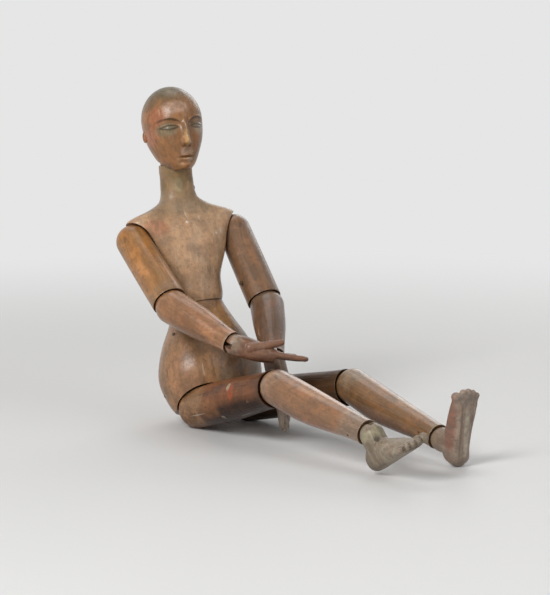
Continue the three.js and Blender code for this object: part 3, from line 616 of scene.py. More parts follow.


# finish of each piece: its main tint, then stains and patches of painted shade and highlight (centre, reach, tint,
# strength) in the piece's own mm
toeGapShade = [(3.85, -33), (-0.1, -33), (-3.85, -32.4), (-7.3, -31.2)]  # painted shade between the right foot's toes
looks = {
    "head": {
        "base": (0.32, 0.155, 0.064), "cloudTint": (0.14, 0.078, 0.036), "eye": (0.15, 0.12, 0.065),
        "line": (0.045, 0.024, 0.012), "cloudy": 0.6, "nicks": 0.5, "cracks": 0.25, "polish": 0.2,
        "stainsAndShading": [
            ((0, 10, 46), (26, 36, 24), (0.112, 0.09, 0.042), 0.95),
            # pale pink forehead patch: painted highlight
            ((-4, -20, 32), (9, 10, 4.5), (0.42, 0.27, 0.19), 0.75),
            ((-13, -12, 26), (6, 9, 8), (0.43, 0.155, 0.075), 0.8),
            ((-15, -6, 16), (5, 9, 7), (0.44, 0.18, 0.1), 0.75),
            ((-9, -16, 5), (6, 9, 5), (0.26, 0.12, 0.045), 0.6),
            ((0, -22, -3), (9, 9, 5), (0.36, 0.18, 0.08), 0.8),
            # pale yellow nose ridge: partly rubbed wood, partly painted highlight on the lit ridge
            ((0, -27, 13), (2.4, 8, 7), (0.5, 0.3, 0.13), 0.8),
            ((-9.4, -16, 19), (7, 10, 5.4), (0.22, 0.17, 0.095), 0.85),
            # paler lid on the far eye, which lies in shade: painted light
            ((9.4, -16, 19), (7, 10, 5.4), (0.38, 0.28, 0.19), 0.85),
            ((0, -24, 4.6), (5.2, 8, 3), (0.4, 0.28, 0.205), 0.65),
            # pale lower lip: painted highlight
            ((1.6, -24, -0.7), (3.2, 7, 1.5), (0.52, 0.4, 0.32), 0.7),
        ],
    },
    "chest": {
        "base": (0.52, 0.345, 0.215), "deep": (0.37, 0.225, 0.13), "cloudTint": (0.25, 0.155, 0.09),
        "nicks": 0.9, "cracks": 0.18,
        "stainsAndShading": [
            ((0, -8, -4), (44, 44, 20), (0.4, 0.24, 0.135), 0.85),
            ((0, 0, 58), (44, 28, 13), (0.25, 0.175, 0.1), 0.7),
            ((-24, -13, 42), (9, 12, 7), (0.36, 0.16, 0.085), 0.8),
            ((6, -16, 24), (8, 9, 7), (0.46, 0.25, 0.13), 0.6),
            ((0, -4, 75), (16, 16, 17), (0.21, 0.13, 0.046), 0.95),
            ((-4, -12, 67), (3.4, 6, 5), (0.36, 0.29, 0.17), 0.6),
            ((6, -12, 76), (4, 6, 5), (0.3, 0.15, 0.05), 0.6),
            ((-3, -17, 43.4), (1.3, 6, 1.2), (0.7, 0.63, 0.54), 0.9),
            ((-2, -15, 49), (0.7, 6, 4.4), (0.62, 0.53, 0.42), 0.6),
            ((6, -16, 45), (0.7, 6, 2.6), (0.66, 0.57, 0.46), 0.7),
            ((15, -14, 34.5), (1.0, 8, 0.9), (0.7, 0.63, 0.54), 0.9),
            ((19, -12, 36), (1.0, 8, 2.6), (0.6, 0.5, 0.4), 0.6),
            # near-black ring at the waist seam: partly dirt, partly painted shade in the gap
            ((0, 0, -6.6), (30, 30, 0.9), (0.05, 0.03, 0.018), 0.85),
        ],
    },
    "pelvis": {
        "base": (0.335, 0.19, 0.1), "cloudTint": (0.14, 0.075, 0.038), "polish": 0.22,
        "stainsAndShading": [
            # dark patch over the figure's left side: painted shade on the side away from the window lamp
            ((26, -12, 24), (14, 24, 28), (0.14, 0.085, 0.032), 0.9),
            # orange band on the figure's right side: partly tone, partly painted highlight on the lit side
            ((-30, -6, 18), (8, 12, 22), (0.39, 0.195, 0.1), 0.65),
            # pale patch low on the front: painted highlight
            ((-8, -22, 16), (7, 9, 9), (0.4, 0.29, 0.19), 0.6),
            ((2, -12, 53), (18, 14, 11), (0.42, 0.215, 0.08), 0.85),
            ((-16, -16, 20), (6, 8, 22), (0.4, 0.21, 0.095), 0.6),
            ((-6, -20, 34), (12, 8, 5), (0.2, 0.12, 0.06), 0.6),
            # near-black ring at the waist seam: partly dirt, partly painted shade in the gap
            ((0, 8, 65.4), (40, 40, 1.5), (0.04, 0.024, 0.015), 0.9),
        ],
    },
    "right_upper_arm": {
        "base": (0.4, 0.19, 0.06), "cloudTint": (0.17, 0.075, 0.028), "polish": 0.3,
        "stainsAndShading": [
            ((0, 0, -56), (14, 14, 14), (0.27, 0.18, 0.115), 0.75),
            ((-8, 4, -2), (8, 9, 12), (0.29, 0.12, 0.035), 0.65),
            ((-6, -8, -34), (6, 6, 12), (0.46, 0.22, 0.09), 0.5),
            # darker strip down the back of the arm: painted shade on the side turned from the lamps
            ((0, 6, -30), (12, 6, 30), (0.2, 0.095, 0.035), 0.6),
        ],
    },
    "left_upper_arm": {
        "base": (0.235, 0.13, 0.07), "cloudTint": (0.11, 0.06, 0.034), "polish": 0.3,
        "stainsAndShading": [
            ((0, 0, -60), (14, 14, 5), (0.36, 0.28, 0.18), 0.75),
            ((8, -4, -24), (6, 8, 18), (0.29, 0.15, 0.09), 0.6),
        ],
    },
    "right_forearm": {
        "base": (0.37, 0.178, 0.082), "cloudTint": (0.18, 0.08, 0.032), "polish": 0.5,
        "stainsAndShading": [
            ((0, 0, -51), (9, 9, 3.6), (0.46, 0.36, 0.26), 0.75),
            # darker strip down the back of the forearm: painted shade on its downward side
            ((0, 8, -22), (8, 7, 20), (0.23, 0.1, 0.038), 0.8),
            ((0, 0, 0), (12, 12, 8), (0.31, 0.17, 0.08), 0.7),
            ((2, -8, -14), (8, 7, 10), (0.44, 0.19, 0.06), 0.8),
        ],
    },
    "left_forearm": {
        "base": (0.165, 0.09, 0.052), "cloudTint": (0.09, 0.05, 0.03), "polish": 0.25,
        "stainsAndShading": [
            ((0, 0, 2), (13, 13, 10), (0.26, 0.185, 0.11), 0.65),
        ],
    },
    "right_hand": {
        "base": (0.22, 0.11, 0.066), "rubbed": 0.55, "rub": (0.32, 0.2, 0.145), "shine": 0.35,
        "stainsAndShading": [
            ((0, 1, 0), (9, 9, 5), (0.36, 0.28, 0.2), 0.6),
            # near-black on the back of the fingers, which faces down: painted shade
            ((0, -3, -34), (12, 5, 14), (0.07, 0.036, 0.024), 0.8),
        ],
    },
    "left_hand": {
        "base": (0.24, 0.155, 0.105), "rubbed": 0.6, "rub": (0.36, 0.28, 0.22),
        "stainsAndShading": [
            ((0, 1, -38), (12, 8, 12), (0.35, 0.28, 0.22), 0.8),
        ],
    },
    "right_thigh": {
        # dark base: partly the wood's own tone, partly painted shade against light bounced from the floor
        "base": (0.2, 0.08, 0.034), "cloudTint": (0.08, 0.034, 0.016), "rub": (0.3, 0.125, 0.052), "nicks": 0.9,
        "shine": 0.16, "polish": 0.06,
        "stainsAndShading": [
            # near-black strip along the back, the underside when seated: painted shade
            ((-4, 9.5, -52), (19, 11, 50), (0.02, 0.008, 0.004), 0.97),
            ((-9, -4, -55), (5, 6, 4), (0.38, 0.085, 0.028), 0.85),
            # dark knee end: painted shadow of the right hand
            ((0, 0, -86), (16, 16, 10), (0.055, 0.027, 0.014), 0.85),
            # paler, warmer near the hip: partly tone, partly painted highlight
            ((-8, -2, -8), (13, 15, 20), (0.33, 0.185, 0.09), 0.8),
            ((-9, -7, -52), (2, 5, 1.8), (0.5, 0.42, 0.28), 0.7),
            ((-10, 2, -30), (5, 7, 12), (0.3, 0.13, 0.05), 0.6),
        ],
    },
    "left_thigh": {
        # nearly black base, the thigh's tone where it lies in shadow: painted shade
        "base": (0.078, 0.038, 0.016), "cloudTint": (0.045, 0.022, 0.01), "shine": 0.2, "polish": 0,
        "stainsAndShading": [
            ((0, -2, -88), (16, 16, 5), (0.32, 0.24, 0.13), 0.8),
            # near-black strip along the back, the underside when seated: painted shade
            ((0, 12, -45), (15, 7, 54), (0.03, 0.015, 0.007), 0.8),
        ],
    },
    "right_shin": {
        "base": (0.305, 0.155, 0.076), "cloudTint": (0.14, 0.068, 0.032), "nicks": 0.9, "polish": 0.55,
        "stainsAndShading": [
            ((0, 0, -74), (14, 14, 16), (0.28, 0.2, 0.14), 0.7),
            ((4, -9, -36), (8, 6, 24), (0.41, 0.18, 0.05), 0.85),
            # darker strip down the back of the shin: painted shade on the side turned from the lamps
            ((-6, 9, -36), (8, 7, 34), (0.25, 0.1, 0.04), 0.75),
            ((0, -4, 0), (12, 12, 10), (0.32, 0.205, 0.13), 0.6),
        ],
    },
    "left_shin": {
        "base": (0.268, 0.14, 0.06), "cloudTint": (0.11, 0.056, 0.025), "polish": 0.5,
        "stainsAndShading": [
            ((0, -4, -2), (14, 14, 12), (0.26, 0.19, 0.12), 0.7),
            # darker strip down the back of the shin: painted shade on the side turned from the lamps
            ((-4, 10, -40), (12, 7, 44), (0.12, 0.06, 0.034), 0.8),
            ((0, 0, -80), (10, 10, 6), (0.3, 0.22, 0.12), 0.6),
            ((0, -8, -48), (7, 7, 12), (0.36, 0.2, 0.075), 0.7),
        ],
    },
    "right_foot": {
        "base": (0.31, 0.25, 0.18), "deep": (0.16, 0.115, 0.076), "rub": (0.46, 0.4, 0.31), "rubbed": 0.65,
        "rough": 0.45, "glow": (0.3, 0.22, 0.145), "shine": 0.35,
        "stainsAndShading": [
            ((0, 8, -14), (9, 9, 7), (0.2, 0.135, 0.11), 0.6),
            # near-black spot on the ankle: painted shadow of a hole
            ((-3, -7, -3.5), (1.7, 2.6, 2.2), (0.025, 0.016, 0.01), 0.95),
            # dark marks between the toes: painted shade in the creases
            *[((x, y, -16.4), (0.6, 3.6, 3), (0.07, 0.045, 0.03), 0.75) for x, y in toeGapShade],
            ((0, 0, 0), (10, 10, 4), (0.36, 0.33, 0.2), 0.6),
        ],
    },
    "left_foot": {
        "base": (0.38, 0.295, 0.225), "deep": (0.21, 0.14, 0.1), "rub": (0.52, 0.44, 0.36), "rubbed": 0.6,
        "rough": 0.42, "glow": (0.34, 0.23, 0.17), "shine": 0.35,
        "stainsAndShading": [
            ((-8.6, -10, -14), (3.2, 26, 7), (0.27, 0.12, 0.08), 0.8),
            ((8.6, -10, -14), (3, 26, 7), (0.22, 0.11, 0.075), 0.7),
            # pale and dark lengthwise bands on the sole: painted highlight and shade of its ridges
            ((0.5, -10, -19), (2, 19, 4), (0.52, 0.45, 0.36), 0.7),
            ((-3.4, -10, -19), (0.8, 19, 4), (0.15, 0.1, 0.07), 0.75),
            ((4.4, -8, -19), (0.8, 17, 4), (0.15, 0.1, 0.07), 0.75),
            ((0, -30, -18), (9, 4, 5), (0.3, 0.24, 0.2), 0.6),
            ((0, 0, -2), (10, 10, 8), (0.22, 0.145, 0.085), 0.75),
        ],
    },
    "peg": {"base": (0.1, 0.056, 0.03), "cloudTint": (0.05, 0.03, 0.02), "rough": 0.45},
    "tongue": {"base": (0.17, 0.1, 0.055), "cloudTint": (0.08, 0.05, 0.03), "rough": 0.55},
}
woods = {}
for piece, look in looks.items():
    place = (axes[piece], origin[piece]) if piece in axes else None
    woods[piece] = makeWood(piece + "_wood", look, place, piece == "head")
print("wood materials made:", len(woods))

# turned limbs: a rule in Geometry Nodes spins a profile of (radius, offset, height)
def geometryTree(name, inputs):
    return newTree(name, "GeometryNodeTree", [("Geometry", "Geometry")] + inputs, [("Geometry", "Geometry")])


def paintAll(tree, start, end, made):
    paint = addNode(tree, "GeometryNodeSetMaterial", {"Geometry": made, "Material": start.outputs["Wood"]})
    fill(tree, end, {0: paint.outputs[0]})


def makeTurnedTree():
    tree, start, end = geometryTree(
        "turnedLimb", [("Sides", "Int", 72), ("Weld", "Float", 0.0005), ("Wood", "Material")],
    )
    add, calc = partial(addNode, tree), partial(mathNode, tree)
    given, sides = start.outputs["Geometry"], start.outputs["Sides"]
    here = add("GeometryNodeInputPosition").outputs[0]
    points = add("GeometryNodeAttributeDomainSize", {"Geometry": given}).outputs["Point Count"]
    last = calc("SUBTRACT", points, 1)
    grid = add("GeometryNodeMeshGrid", {
        "Vertices X": calc("ADD", sides, 1), "Vertices Y": points, "Size X": sides, "Size Y": last,
    })
    split = add("ShaderNodeSeparateXYZ", {0: here})
    step = calc("ADD", split.outputs["X"], calc("MULTIPLY", sides, 0.5))
    angle = calc("MULTIPLY", calc("DIVIDE", step, sides), 2 * pi)
    row = calc("ROUND", calc("ADD", split.outputs["Y"], calc("MULTIPLY", last, 0.5)))
    values = {"Geometry": given, "Value": here, "Index": row}
    sample = add("GeometryNodeSampleIndex", values, data_type="FLOAT_VECTOR")
    profile = add("ShaderNodeSeparateXYZ", {0: sample.outputs[0]})
    radius = profile.outputs["X"]
    aside = calc("MULTIPLY", radius, calc("SINE", angle))
    spun = add("ShaderNodeCombineXYZ", {
        "X": calc("MULTIPLY", radius, calc("COSINE", angle)),
        "Y": calc("ADD", aside, profile.outputs["Y"]), "Z": profile.outputs["Z"],
    })
    put = add("GeometryNodeSetPosition", {"Geometry": grid.outputs["Mesh"], "Position": spun.outputs[0]})
    weld = add("GeometryNodeMergeByDistance", {"Geometry": put.outputs[0], "Distance": start.outputs["Weld"]})
    real = add("GeometryNodeRealizeInstances", {0: weld.outputs[0]})
    paintAll(tree, start, end, real.outputs[0])
    return tree


def runTree(obj, tree, values):  # inputs are set by identifier before the first evaluation
    mod = obj.modifiers.new(tree.name, "NODES")
    mod.node_group = tree
    for item in tree.interface.items_tree:
        if item.item_type == "SOCKET" and item.in_out == "INPUT" and item.name in values:
            mod[item.identifier] = values[item.name]
    return freeze(obj)


turnedTree = makeTurnedTree()
limbSteps = {"sides": 72, "weld": 0.0005, "wall": 40, "dome": 14, "rimRound": 0.5}
limbs = {  # mm: joint at the top, joint at the foot, length, then (share of length, radius, set back)
    "upper_arm": {
        "top": "shoulder", "foot": "elbow", "long": 60,
        "sections": [(1.04, 10.7, 0), (0.8, 10.7, 0), (0.4, 10.6, 0), (0, 10.3, 0)],
    },
    "forearm": {
        "top": "elbow", "foot": "wrist", "long": 53,
        "sections": [(1.04, 6.9, 0), (0.85, 6.9, 0), (0.4, 9.6, 0), (0, 10.5, 0)],
    },
    "thigh": {
        "top": "hip", "foot": "knee", "long": 89,
        "sections": [(1.03, 11.0, 0), (0.85, 11.0, 0), (0.4, 12.6, 0), (0, 12.2, 0)],
    },
    "shin": {
        "top": "knee", "foot": "ankle", "long": 83,
        "sections": [(1.03, 7.3, 0), (0.85, 7.3, 0), (0.35, 10.4, 1.2), (0, 10.6, 0)],
    },
}


def limbProfile(spec):
    long = spec["long"]
    topR = balls[spec["top"]]["r"]
    sections = [(-share * long, radius, radius, back) for share, radius, back in spec["sections"]]
    rim, arc, bore = hollowProfile(balls[spec["foot"]], sections[1][1])
    rimZ = rim[1] - long
    profile = [(0, -long + bore[1][1]), (bore[0][0], -long + bore[0][1])]
    profile += [(r, z - long) for r, z in reversed(arc)]
    profile.append((rim[0], rimZ, 1))
    steps = limbSteps["wall"]
    for k in range(1, steps + 1):
        z = rimZ * (1 - k / steps)
        profile.append((sectionAt(sections, z)[0], z))
    quarter = [pi / 2 * k / limbSteps["dome"] for k in range(1, limbSteps["dome"])]
    profile += [(topR * cos(a), topR * sin(a)) for a in quarter] + [(0, topR)]
    points = []
    for radius, z in rounded(profile, limbSteps["rimRound"]):
        inside = -long + 0.5 < z < 0
        points.append((radius, sectionAt(sections, z)[2] if inside else 0, z))
    return points


for side in ("right", "left"):
    for part, spec in limbs.items():
        piece = side + "_" + part
        values = {"Sides": limbSteps["sides"], "Weld": limbSteps["weld"], "Wood": woods[piece]}
        obj = facesOutward(runTree(meshObject(piece, limbProfile(spec), []), turnedTree, values))
        finishPiece(cutSlot(obj, side + "_" + spec["top"]), piece)
print("turned limbs made:", 2 * len(limbs))

# trunk
pelvisSize = {
    "waistHigh": 71, "waistBack": 8, "waistR": 15.4, "hipWide": 33.5, "hipDeep": 26.5, "drop": 7.2,
    "seatCut": 3.3, "seatTilt": 12, "rightHipLean": 47.6, "leftHipLean": 52.8,
    "waistReach": 30, "hipReach": 40, "rows": 90, "square": 2.1,
}
chestSize = {
    "shoulderHigh": 37, "topWide": 36.8, "topRise": 13.5, "ribWide": 23.5, "ribDeep": 17,
    "neckHigh": 83, "neckForward": 6.5, "neckR": 10,
    "neckReach": 24, "shoulderReach": 30, "rows": 120, "square": 2.3, "domeRows": 16,
}


def makePelvis(size):
    ball = balls["waist"]
    seam = size["waistHigh"] - ball["r"] * sin(radians(ball["lean"]))
    wide, deep, back, low = size["hipWide"], size["hipDeep"], size["waistBack"], -size["drop"]
    sections = [
        (low, 0.5 * wide, 0.36 * deep, back - 4), (low + 5, 0.82 * wide, 0.66 * deep, back - 2),
        (0.2 * seam, 0.98 * wide, 0.94 * deep, back), (0.38 * seam, wide, deep, back),
        (0.62 * seam, 0.85 * wide, 0.85 * deep, back), (0.82 * seam, 0.62 * wide, 0.72 * deep, back),
        (seam, size["waistR"], size["waistR"], back), (size["waistHigh"], size["waistR"], size["waistR"], back),
    ]
    rings = sectionRings(sections, size["rows"], size["square"])
    obj = stack("pelvis", rings, (0, back - 4, low - 0.2), (0, back, size["waistHigh"]))
    under = block("under", (-120, -120, -60), (120, 120, 0))
    tilt = Matrix.Rotation(-radians(size["seatTilt"]), 4, "X")
    under.data.transform(Matrix.Translation((0, 0, size["seatCut"])) @ tilt)
    cut(obj, under)
    cutHollow(obj, "waist", size["waistReach"])
    cutHollow(obj, "right_hip", size["hipReach"], size["rightHipLean"])
    cutHollow(obj, "left_hip", size["hipReach"], size["leftHipLean"])
    return obj


def makeChest(size):
    ball = balls["waist"]
    high, wide, deep = size["shoulderHigh"], size["topWide"], size["ribDeep"]
    top = high + size["topRise"]
    neckFoot = top + 10
    neckR, forward = size["neckR"], size["neckForward"]
    sections = [
        (0, ball["r"], ball["r"], 0), (0.25 * high, ball["r"] + 1, ball["r"] - 0.8, 0),
        (0.62 * high, size["ribWide"], deep, 0), (high, 0.8 * wide, deep - 1, 0),
        (top - 3.5, wide, deep - 4.5, 0.5), (top, 0.94 * wide, deep - 6, 0.5),
        (top + 5, 0.55 * wide, neckR + 0.6, 0), (neckFoot, neckR + 2, neckR + 0.4, -0.2 * forward),
        ((neckFoot + size["neckHigh"]) / 2, neckR, neckR, -0.6 * forward),
        (size["neckHigh"] - 2.5, neckR, neckR, -0.9 * forward),
        (size["neckHigh"] + 2, neckR - 0.7, neckR - 0.7, -forward),
    ]
    dome = []
    for k in range(1, size["domeRows"]):  # round below, squarer towards the ribs
        share = k / size["domeRows"]
        a = pi / 2 * (1 - share)
        reach = ball["r"] * cos(a)
        dome.append(superRing(reach, reach, 0, -ball["r"] * sin(a), 2.0 + 0.3 * share))
    rings = dome + sectionRings(sections, size["rows"], size["square"])
    obj = stack("chest", rings, (0, 0, -ball["r"]), (0, -forward, size["neckHigh"] + 2))
    cutSlot(obj, "waist")
    cutHollow(obj, "neck", size["neckReach"])
    cutHollow(obj, "right_shoulder", size["shoulderReach"])
    cutHollow(obj, "left_shoulder", size["shoulderReach"])
    return obj


for piece, maker, size in (("pelvis", makePelvis, pelvisSize), ("chest", makeChest, chestSize)):
    finishPiece(maker(size), piece)
print("trunk made")

# head with its carved face
headSize = {
    "crown": 46.5, "chin": 5.6, "wide": 18.4, "deep": 21.2, "forward": 3.5, "nod": 18,
    "ear": 17, "earHalf": (1.5, 2.1, 3.7), "bowlHalf": (0.9, 1.2, 2.3), "earAside": 0.94,
    "sides": 220, "rows": 210, "sharp": 50,
}
faceSize = {  # places on the face in mm: from the middle line, and above the neck ball
    "eyeAside": 9.2, "eyeHigh": 19.8, "eyeHalf": 5.1, "lidRise": 1.25, "lidFall": 1.05, "browHigh": 25.4,
    "browBow": 0.05, "browPeak": 0.8, "mouthHigh": 1.2, "mouthHalf": 4.8, "bridgeHigh": 16.6, "bridgeHalf": 6.6,
    "faceFront": -8, "faceHalf": 16.5,
    "reliefFade": (7.0, 4), "shadeAndDirtFade": (6.6, 6),  # half length of a brow, and how squarely the lines end
    "darkest": 0.92, "palest": 0.8,
}
faceForms = {  # rise, place aside, place above, half width, half height, in mm
    "noseTip": (4.2, 0, 10.0, 2.3, 2.4), "noseWing": (1.1, 2.8, 9.3, 1.1, 1.3), "nostril": (-0.6, 1.4, 7.6, 0.8, 0.7),
    "eyeSocket": (-2.7, 8.0, 21.2, 5.6, 3.2), "eyeball": (1.7, 9.2, 19.8, 3.7, 2.0),
    "upperLip": (0.95, 0, 2.3, 4.4, 0.95), "lowerLip": (1.1, 0, -0.1, 3.7, 1.0),
    "underLip": (-0.75, 0, -1.9, 3.7, 1.0), "aboveLip": (-0.3, 0, 4.8, 0.9, 1.6),
    "chin": (1.6, 0, -3.9, 4.0, 2.2), "cheek": (0.6, 10, 10.5, 4.5, 5),
}
faceShadeAndDirt = {  # darkness of the dirt and painted shade in each hollow, then as above
    "nostril": (0.7, 1.6, 7.5, 1.0, 0.6), "noseSide": (0.35, 4.0, 9.5, 0.6, 1.4), "underLip": (0.3, 0, -1.8, 3.2, 0.7),
}
lineForms = {  # rise, half width and shift of each carved line, in mm
    "bridge": (2.6, 1.75, 0), "upperLid": (0.6, 0.5, 0), "lowerLid": (0.4, 0.4, 0), "lidFold": (-0.4, 0.45, 1.2),
    "brow": (0.85, 1.0, 0), "mouth": (-0.75, 0.4, 0),
}
lineShadeAndDirt = {  # darkness of the dirt and painted shade along each line, then as above
    "upperLid": (0.9, 0.5, -0.1), "lowerLid": (0.9, 0.5, 0), "brow": (0.8, 0.75, -0.3), "mouth": (0.75, 0.42, 0),
}


def bumps(side, z, forms):
    total = 0.0
    for rise, aside, high, wide, tall in forms.values():
        total += rise * exp(-(((side - aside) / wide) ** 2) - ((z - high) / tall) ** 2)
    return total


def band(offset, half, power=2):  # 1 on a line, falling away on both sides
    return exp(-(offset / half) ** power)


def eyeLids(side, face):
    across = (side - face["eyeAside"]) / face["eyeHalf"]
    bow = max(0.0, 1 - across * across)
    return face["eyeHigh"] + face["lidRise"] * bow, face["eyeHigh"] - face["lidFall"] * bow, band(across, 0.98, 8)


def carvedLines(x, z, lines, fade):  # bridge of the nose, lids, brows and mouth
    face, side = faceSize, abs(x)
    lidHigh, lidLow, inEye = eyeLids(side, face)
    browHigh = face["browHigh"] - face["browBow"] * (side - face["eyeAside"] - face["browPeak"]) ** 2
    browHalf, square = fade
    offset = {
        "bridge": x, "upperLid": z - lidHigh, "lidFold": z - lidHigh, "lowerLid": z - lidLow,
        "brow": z - browHigh, "mouth": z - face["mouthHigh"],
    }
    along = {
        "bridge": band(z - face["bridgeHigh"], face["bridgeHalf"], square),
        "brow": band(side - face["eyeAside"], browHalf, square), "mouth": band(x, face["mouthHalf"], square),
    }
    total = 0.0
    for label, (rise, half, shift) in lines.items():
        total += rise * band(offset[label] - shift, half) * along.get(label, inEye)
    return total


def faceRelief(x, z):
    return bumps(abs(x), z, faceForms) + carvedLines(x, z, lineForms, faceSize["reliefFade"])


def faceLines(x, z):  # how dark the dirt and painted shade lie in the carved lines and hollows, and how pale the eyes are
    dark = bumps(abs(x), z, faceShadeAndDirt) + carvedLines(x, z, lineShadeAndDirt, faceSize["shadeAndDirtFade"])
    lidHigh, lidLow, inEye = eyeLids(abs(x), faceSize)
    pale = inEye if lidLow + 0.2 < z < lidHigh - 0.3 else 0.0
    return min(dark, faceSize["darkest"]), faceSize["palest"] * pale


def markFace(obj):
    rows = [(0.0, 0.0)] * len(obj.data.vertices)
    for i, vert in enumerate(obj.data.vertices):
        if vert.co.y < faceSize["faceFront"] and abs(vert.co.x) < faceSize["faceHalf"]:
            rows[i] = faceLines(vert.co.x, vert.co.z)
    for label, column in (("carvedShadeAndDirt", 0), ("eyePale", 1)):
        layer = obj.data.attributes.new(label, "FLOAT", "POINT")
        layer.data.foreach_set("value", [row[column] for row in rows])


def makeHead(size):
    crown, chin, wide, deep, forward = size["crown"], size["chin"], size["wide"], size["deep"], size["forward"]
    sections = [
        (-chin, 0.34 * wide, 0.4 * deep, -2.6 * forward), (-chin + 3, 0.52 * wide, 0.6 * deep, -1.9 * forward),
        (0.1 * crown, 0.745 * wide, 0.79 * deep, -1.3 * forward), (0.3 * crown, 0.935 * wide, 0.94 * deep, -forward),
        (0.55 * crown, wide, deep, -0.8 * forward),
    ]
    for a in (0.3, 0.55, 0.8, 1.02, 1.2, 1.35, 1.47):  # round crown
        high = 0.55 + 0.45 * sin(a)
        sections.append((high * crown, cos(a) * wide, cos(a) * deep, (-0.8 + 0.2 * sin(a)) * forward))
    sides, count = size["sides"], size["rows"]
    low, high = sections[0][0], sections[-1][0]
    rings = []
    for i in range(count + 1):
        z = low + (high - low) * i / count
        width, depth, y = sectionAt(sections, z)
        ring = []
        for s in range(sides):
            even = 2 * pi * (s + 0.5) / sides
            a = even - 0.45 * cos(even)
            x = width * cos(a)
            front = max(0.0, -sin(a))
            ring.append((x, y + depth * sin(a) - front * faceRelief(x, z), z))
        rings.append(ring)
    obj = stack("head", rings, (0, sections[0][3], -chin - 0.4), (0, sections[-1][3], crown))
    room = chestSize["neckR"] + gaps["turning"]
    slope = tan(radians(size["nod"]))
    cut(obj, lathe("nodRoom", [(0, -40), (room + 40 * slope, -40), (room, room * slope), (0, room * slope)], 72))
    cut(obj, globe("knob", balls["neck"]["r"], 24, 64), "UNION")
    for sideways in (-1, 1):
        ear, bowl = globe("ear", 1, 24, 32), globe("bowl", 1, 24, 24)
        aside = size["earAside"] * wide
        earPlace = Matrix.Translation((sideways * aside, 1, size["ear"])) @ Matrix.Rotation(0.15, 4, "X")
        ear.data.transform(earPlace @ Matrix.Diagonal((*size["earHalf"], 1)))
        bowlPlace = Matrix.Translation((sideways * (aside + 1.6), 0.6, size["ear"] + 0.6))
        bowl.data.transform(bowlPlace @ Matrix.Diagonal((*size["bowlHalf"], 1)))
        cut(ear, bowl)
        cut(obj, ear, "UNION")
    cutSlot(obj, "neck")
    markFace(obj)
    return obj


finishPiece(makeHead(headSize), "head", headSize["sharp"])
print("head carved")

# hands and feet, blended from simple forms
handSize = {
    "long": 43.5, "palm": 24, "palmWide": 8, "palmDeep": 5.4, "shortBy": (2, 0, 1.8, 6),
    "fingersWide": 3.7, "firstFinger": 2.8, "fingerStep": 1.87, "curl": 2.0, "close": 0.15, "steps": 8,
    "thumb": 18, "thumbSpread": 2.4, "thumbLift": 7.6, "web": 0.5, "nail": 2.6,
    "taper": (1.12, 0.42), "knuckles": ((0.1, 0.42, 0.07), (0.07, 0.72, 0.06)),  # swell, place and half length
    "thumbTaper": (1.5, 0.62), "thumbKnuckles": ((0.1, 0.6, 0.1),),
    "voxel": 0.3, "smooth": 4,
}
footSize = {
    "long": 46, "heelBack": 11, "ankle": 19, "ballWide": 8.9, "heelWide": 6.8, "toe": 6.6,
    "toeR": (2.7, 1.95, 1.85, 1.7, 1.55), "toeShort": ((0.2, 0.3, 1.1, 2.3, 4.0), (1.8, 0.4, 0.4, 1.5, 3.4)),
    "toeGap": (0.05, -0.35), "wear": (5, 14), "lift": (0.5, 0), "voxel": 0.34,  # pairs are right, then left
}


def tube(name, points, radii, sides=20):  # rounded rod through points
    path = [Vector(p) for p in points]
    rings = []
    frameX = None
    count = len(path)
    for i, p in enumerate(path):
        ahead = path[min(i + 1, count - 1)] - path[max(i - 1, 0)]
        ahead.normalize()
        if frameX is None:
            frameX = ahead.orthogonal().normalized()
        frameX = (frameX - ahead * frameX.dot(ahead)).normalized()
        frameY = ahead.cross(frameX)
        spots = [(0, radii[i])]
        if i == 0:
            spots = [(-radii[i] * sin(a), radii[i] * cos(a)) for a in (1.3, 0.9, 0.45, 0)]
        if i == count - 1:
            spots = [(radii[i] * sin(a), radii[i] * cos(a)) for a in (0, 0.45, 0.9, 1.3)]
        for shift, radius in spots:
            centre = p + ahead * shift
            angles = [2 * pi * s / sides for s in range(sides)]
            rings.append([tuple(centre + frameX * radius * cos(a) + frameY * radius * sin(a)) for a in angles])
    startDir = (path[1] - path[0]).normalized()
    endDir = (path[-1] - path[-2]).normalized()
    return stack(name, rings, tuple(path[0] - startDir * radii[0]), tuple(path[-1] + endDir * radii[-1]))


def limbRings(ballR, sections, count, square):  # up to the joint, then its rounded end
    quarter = [pi / 2 * k / 9 for k in range(1, 9)]
    dome = [superRing(ballR * cos(a), ballR * cos(a), 0, ballR * sin(a), 2.0, 48) for a in quarter]
    return sectionRings(sections, count, square, 48) + dome


def makeNail(name, place, across, long):  # a low oval on the back of a fingertip
    nail = globe(name, 1, 12, 20)
    nail.data.transform(Matrix.Translation(place) @ Matrix.Diagonal((across, 0.5, long / 2, 1)))
    return nail


def digitRadii(shares, radius, taper, knuckles):
    swells = [sum(rise * band(t - place, half) for rise, place, half in knuckles) for t in shares]
    return [radius * (taper[0] - taper[1] * t + swell) for t, swell in zip(shares, swells)]


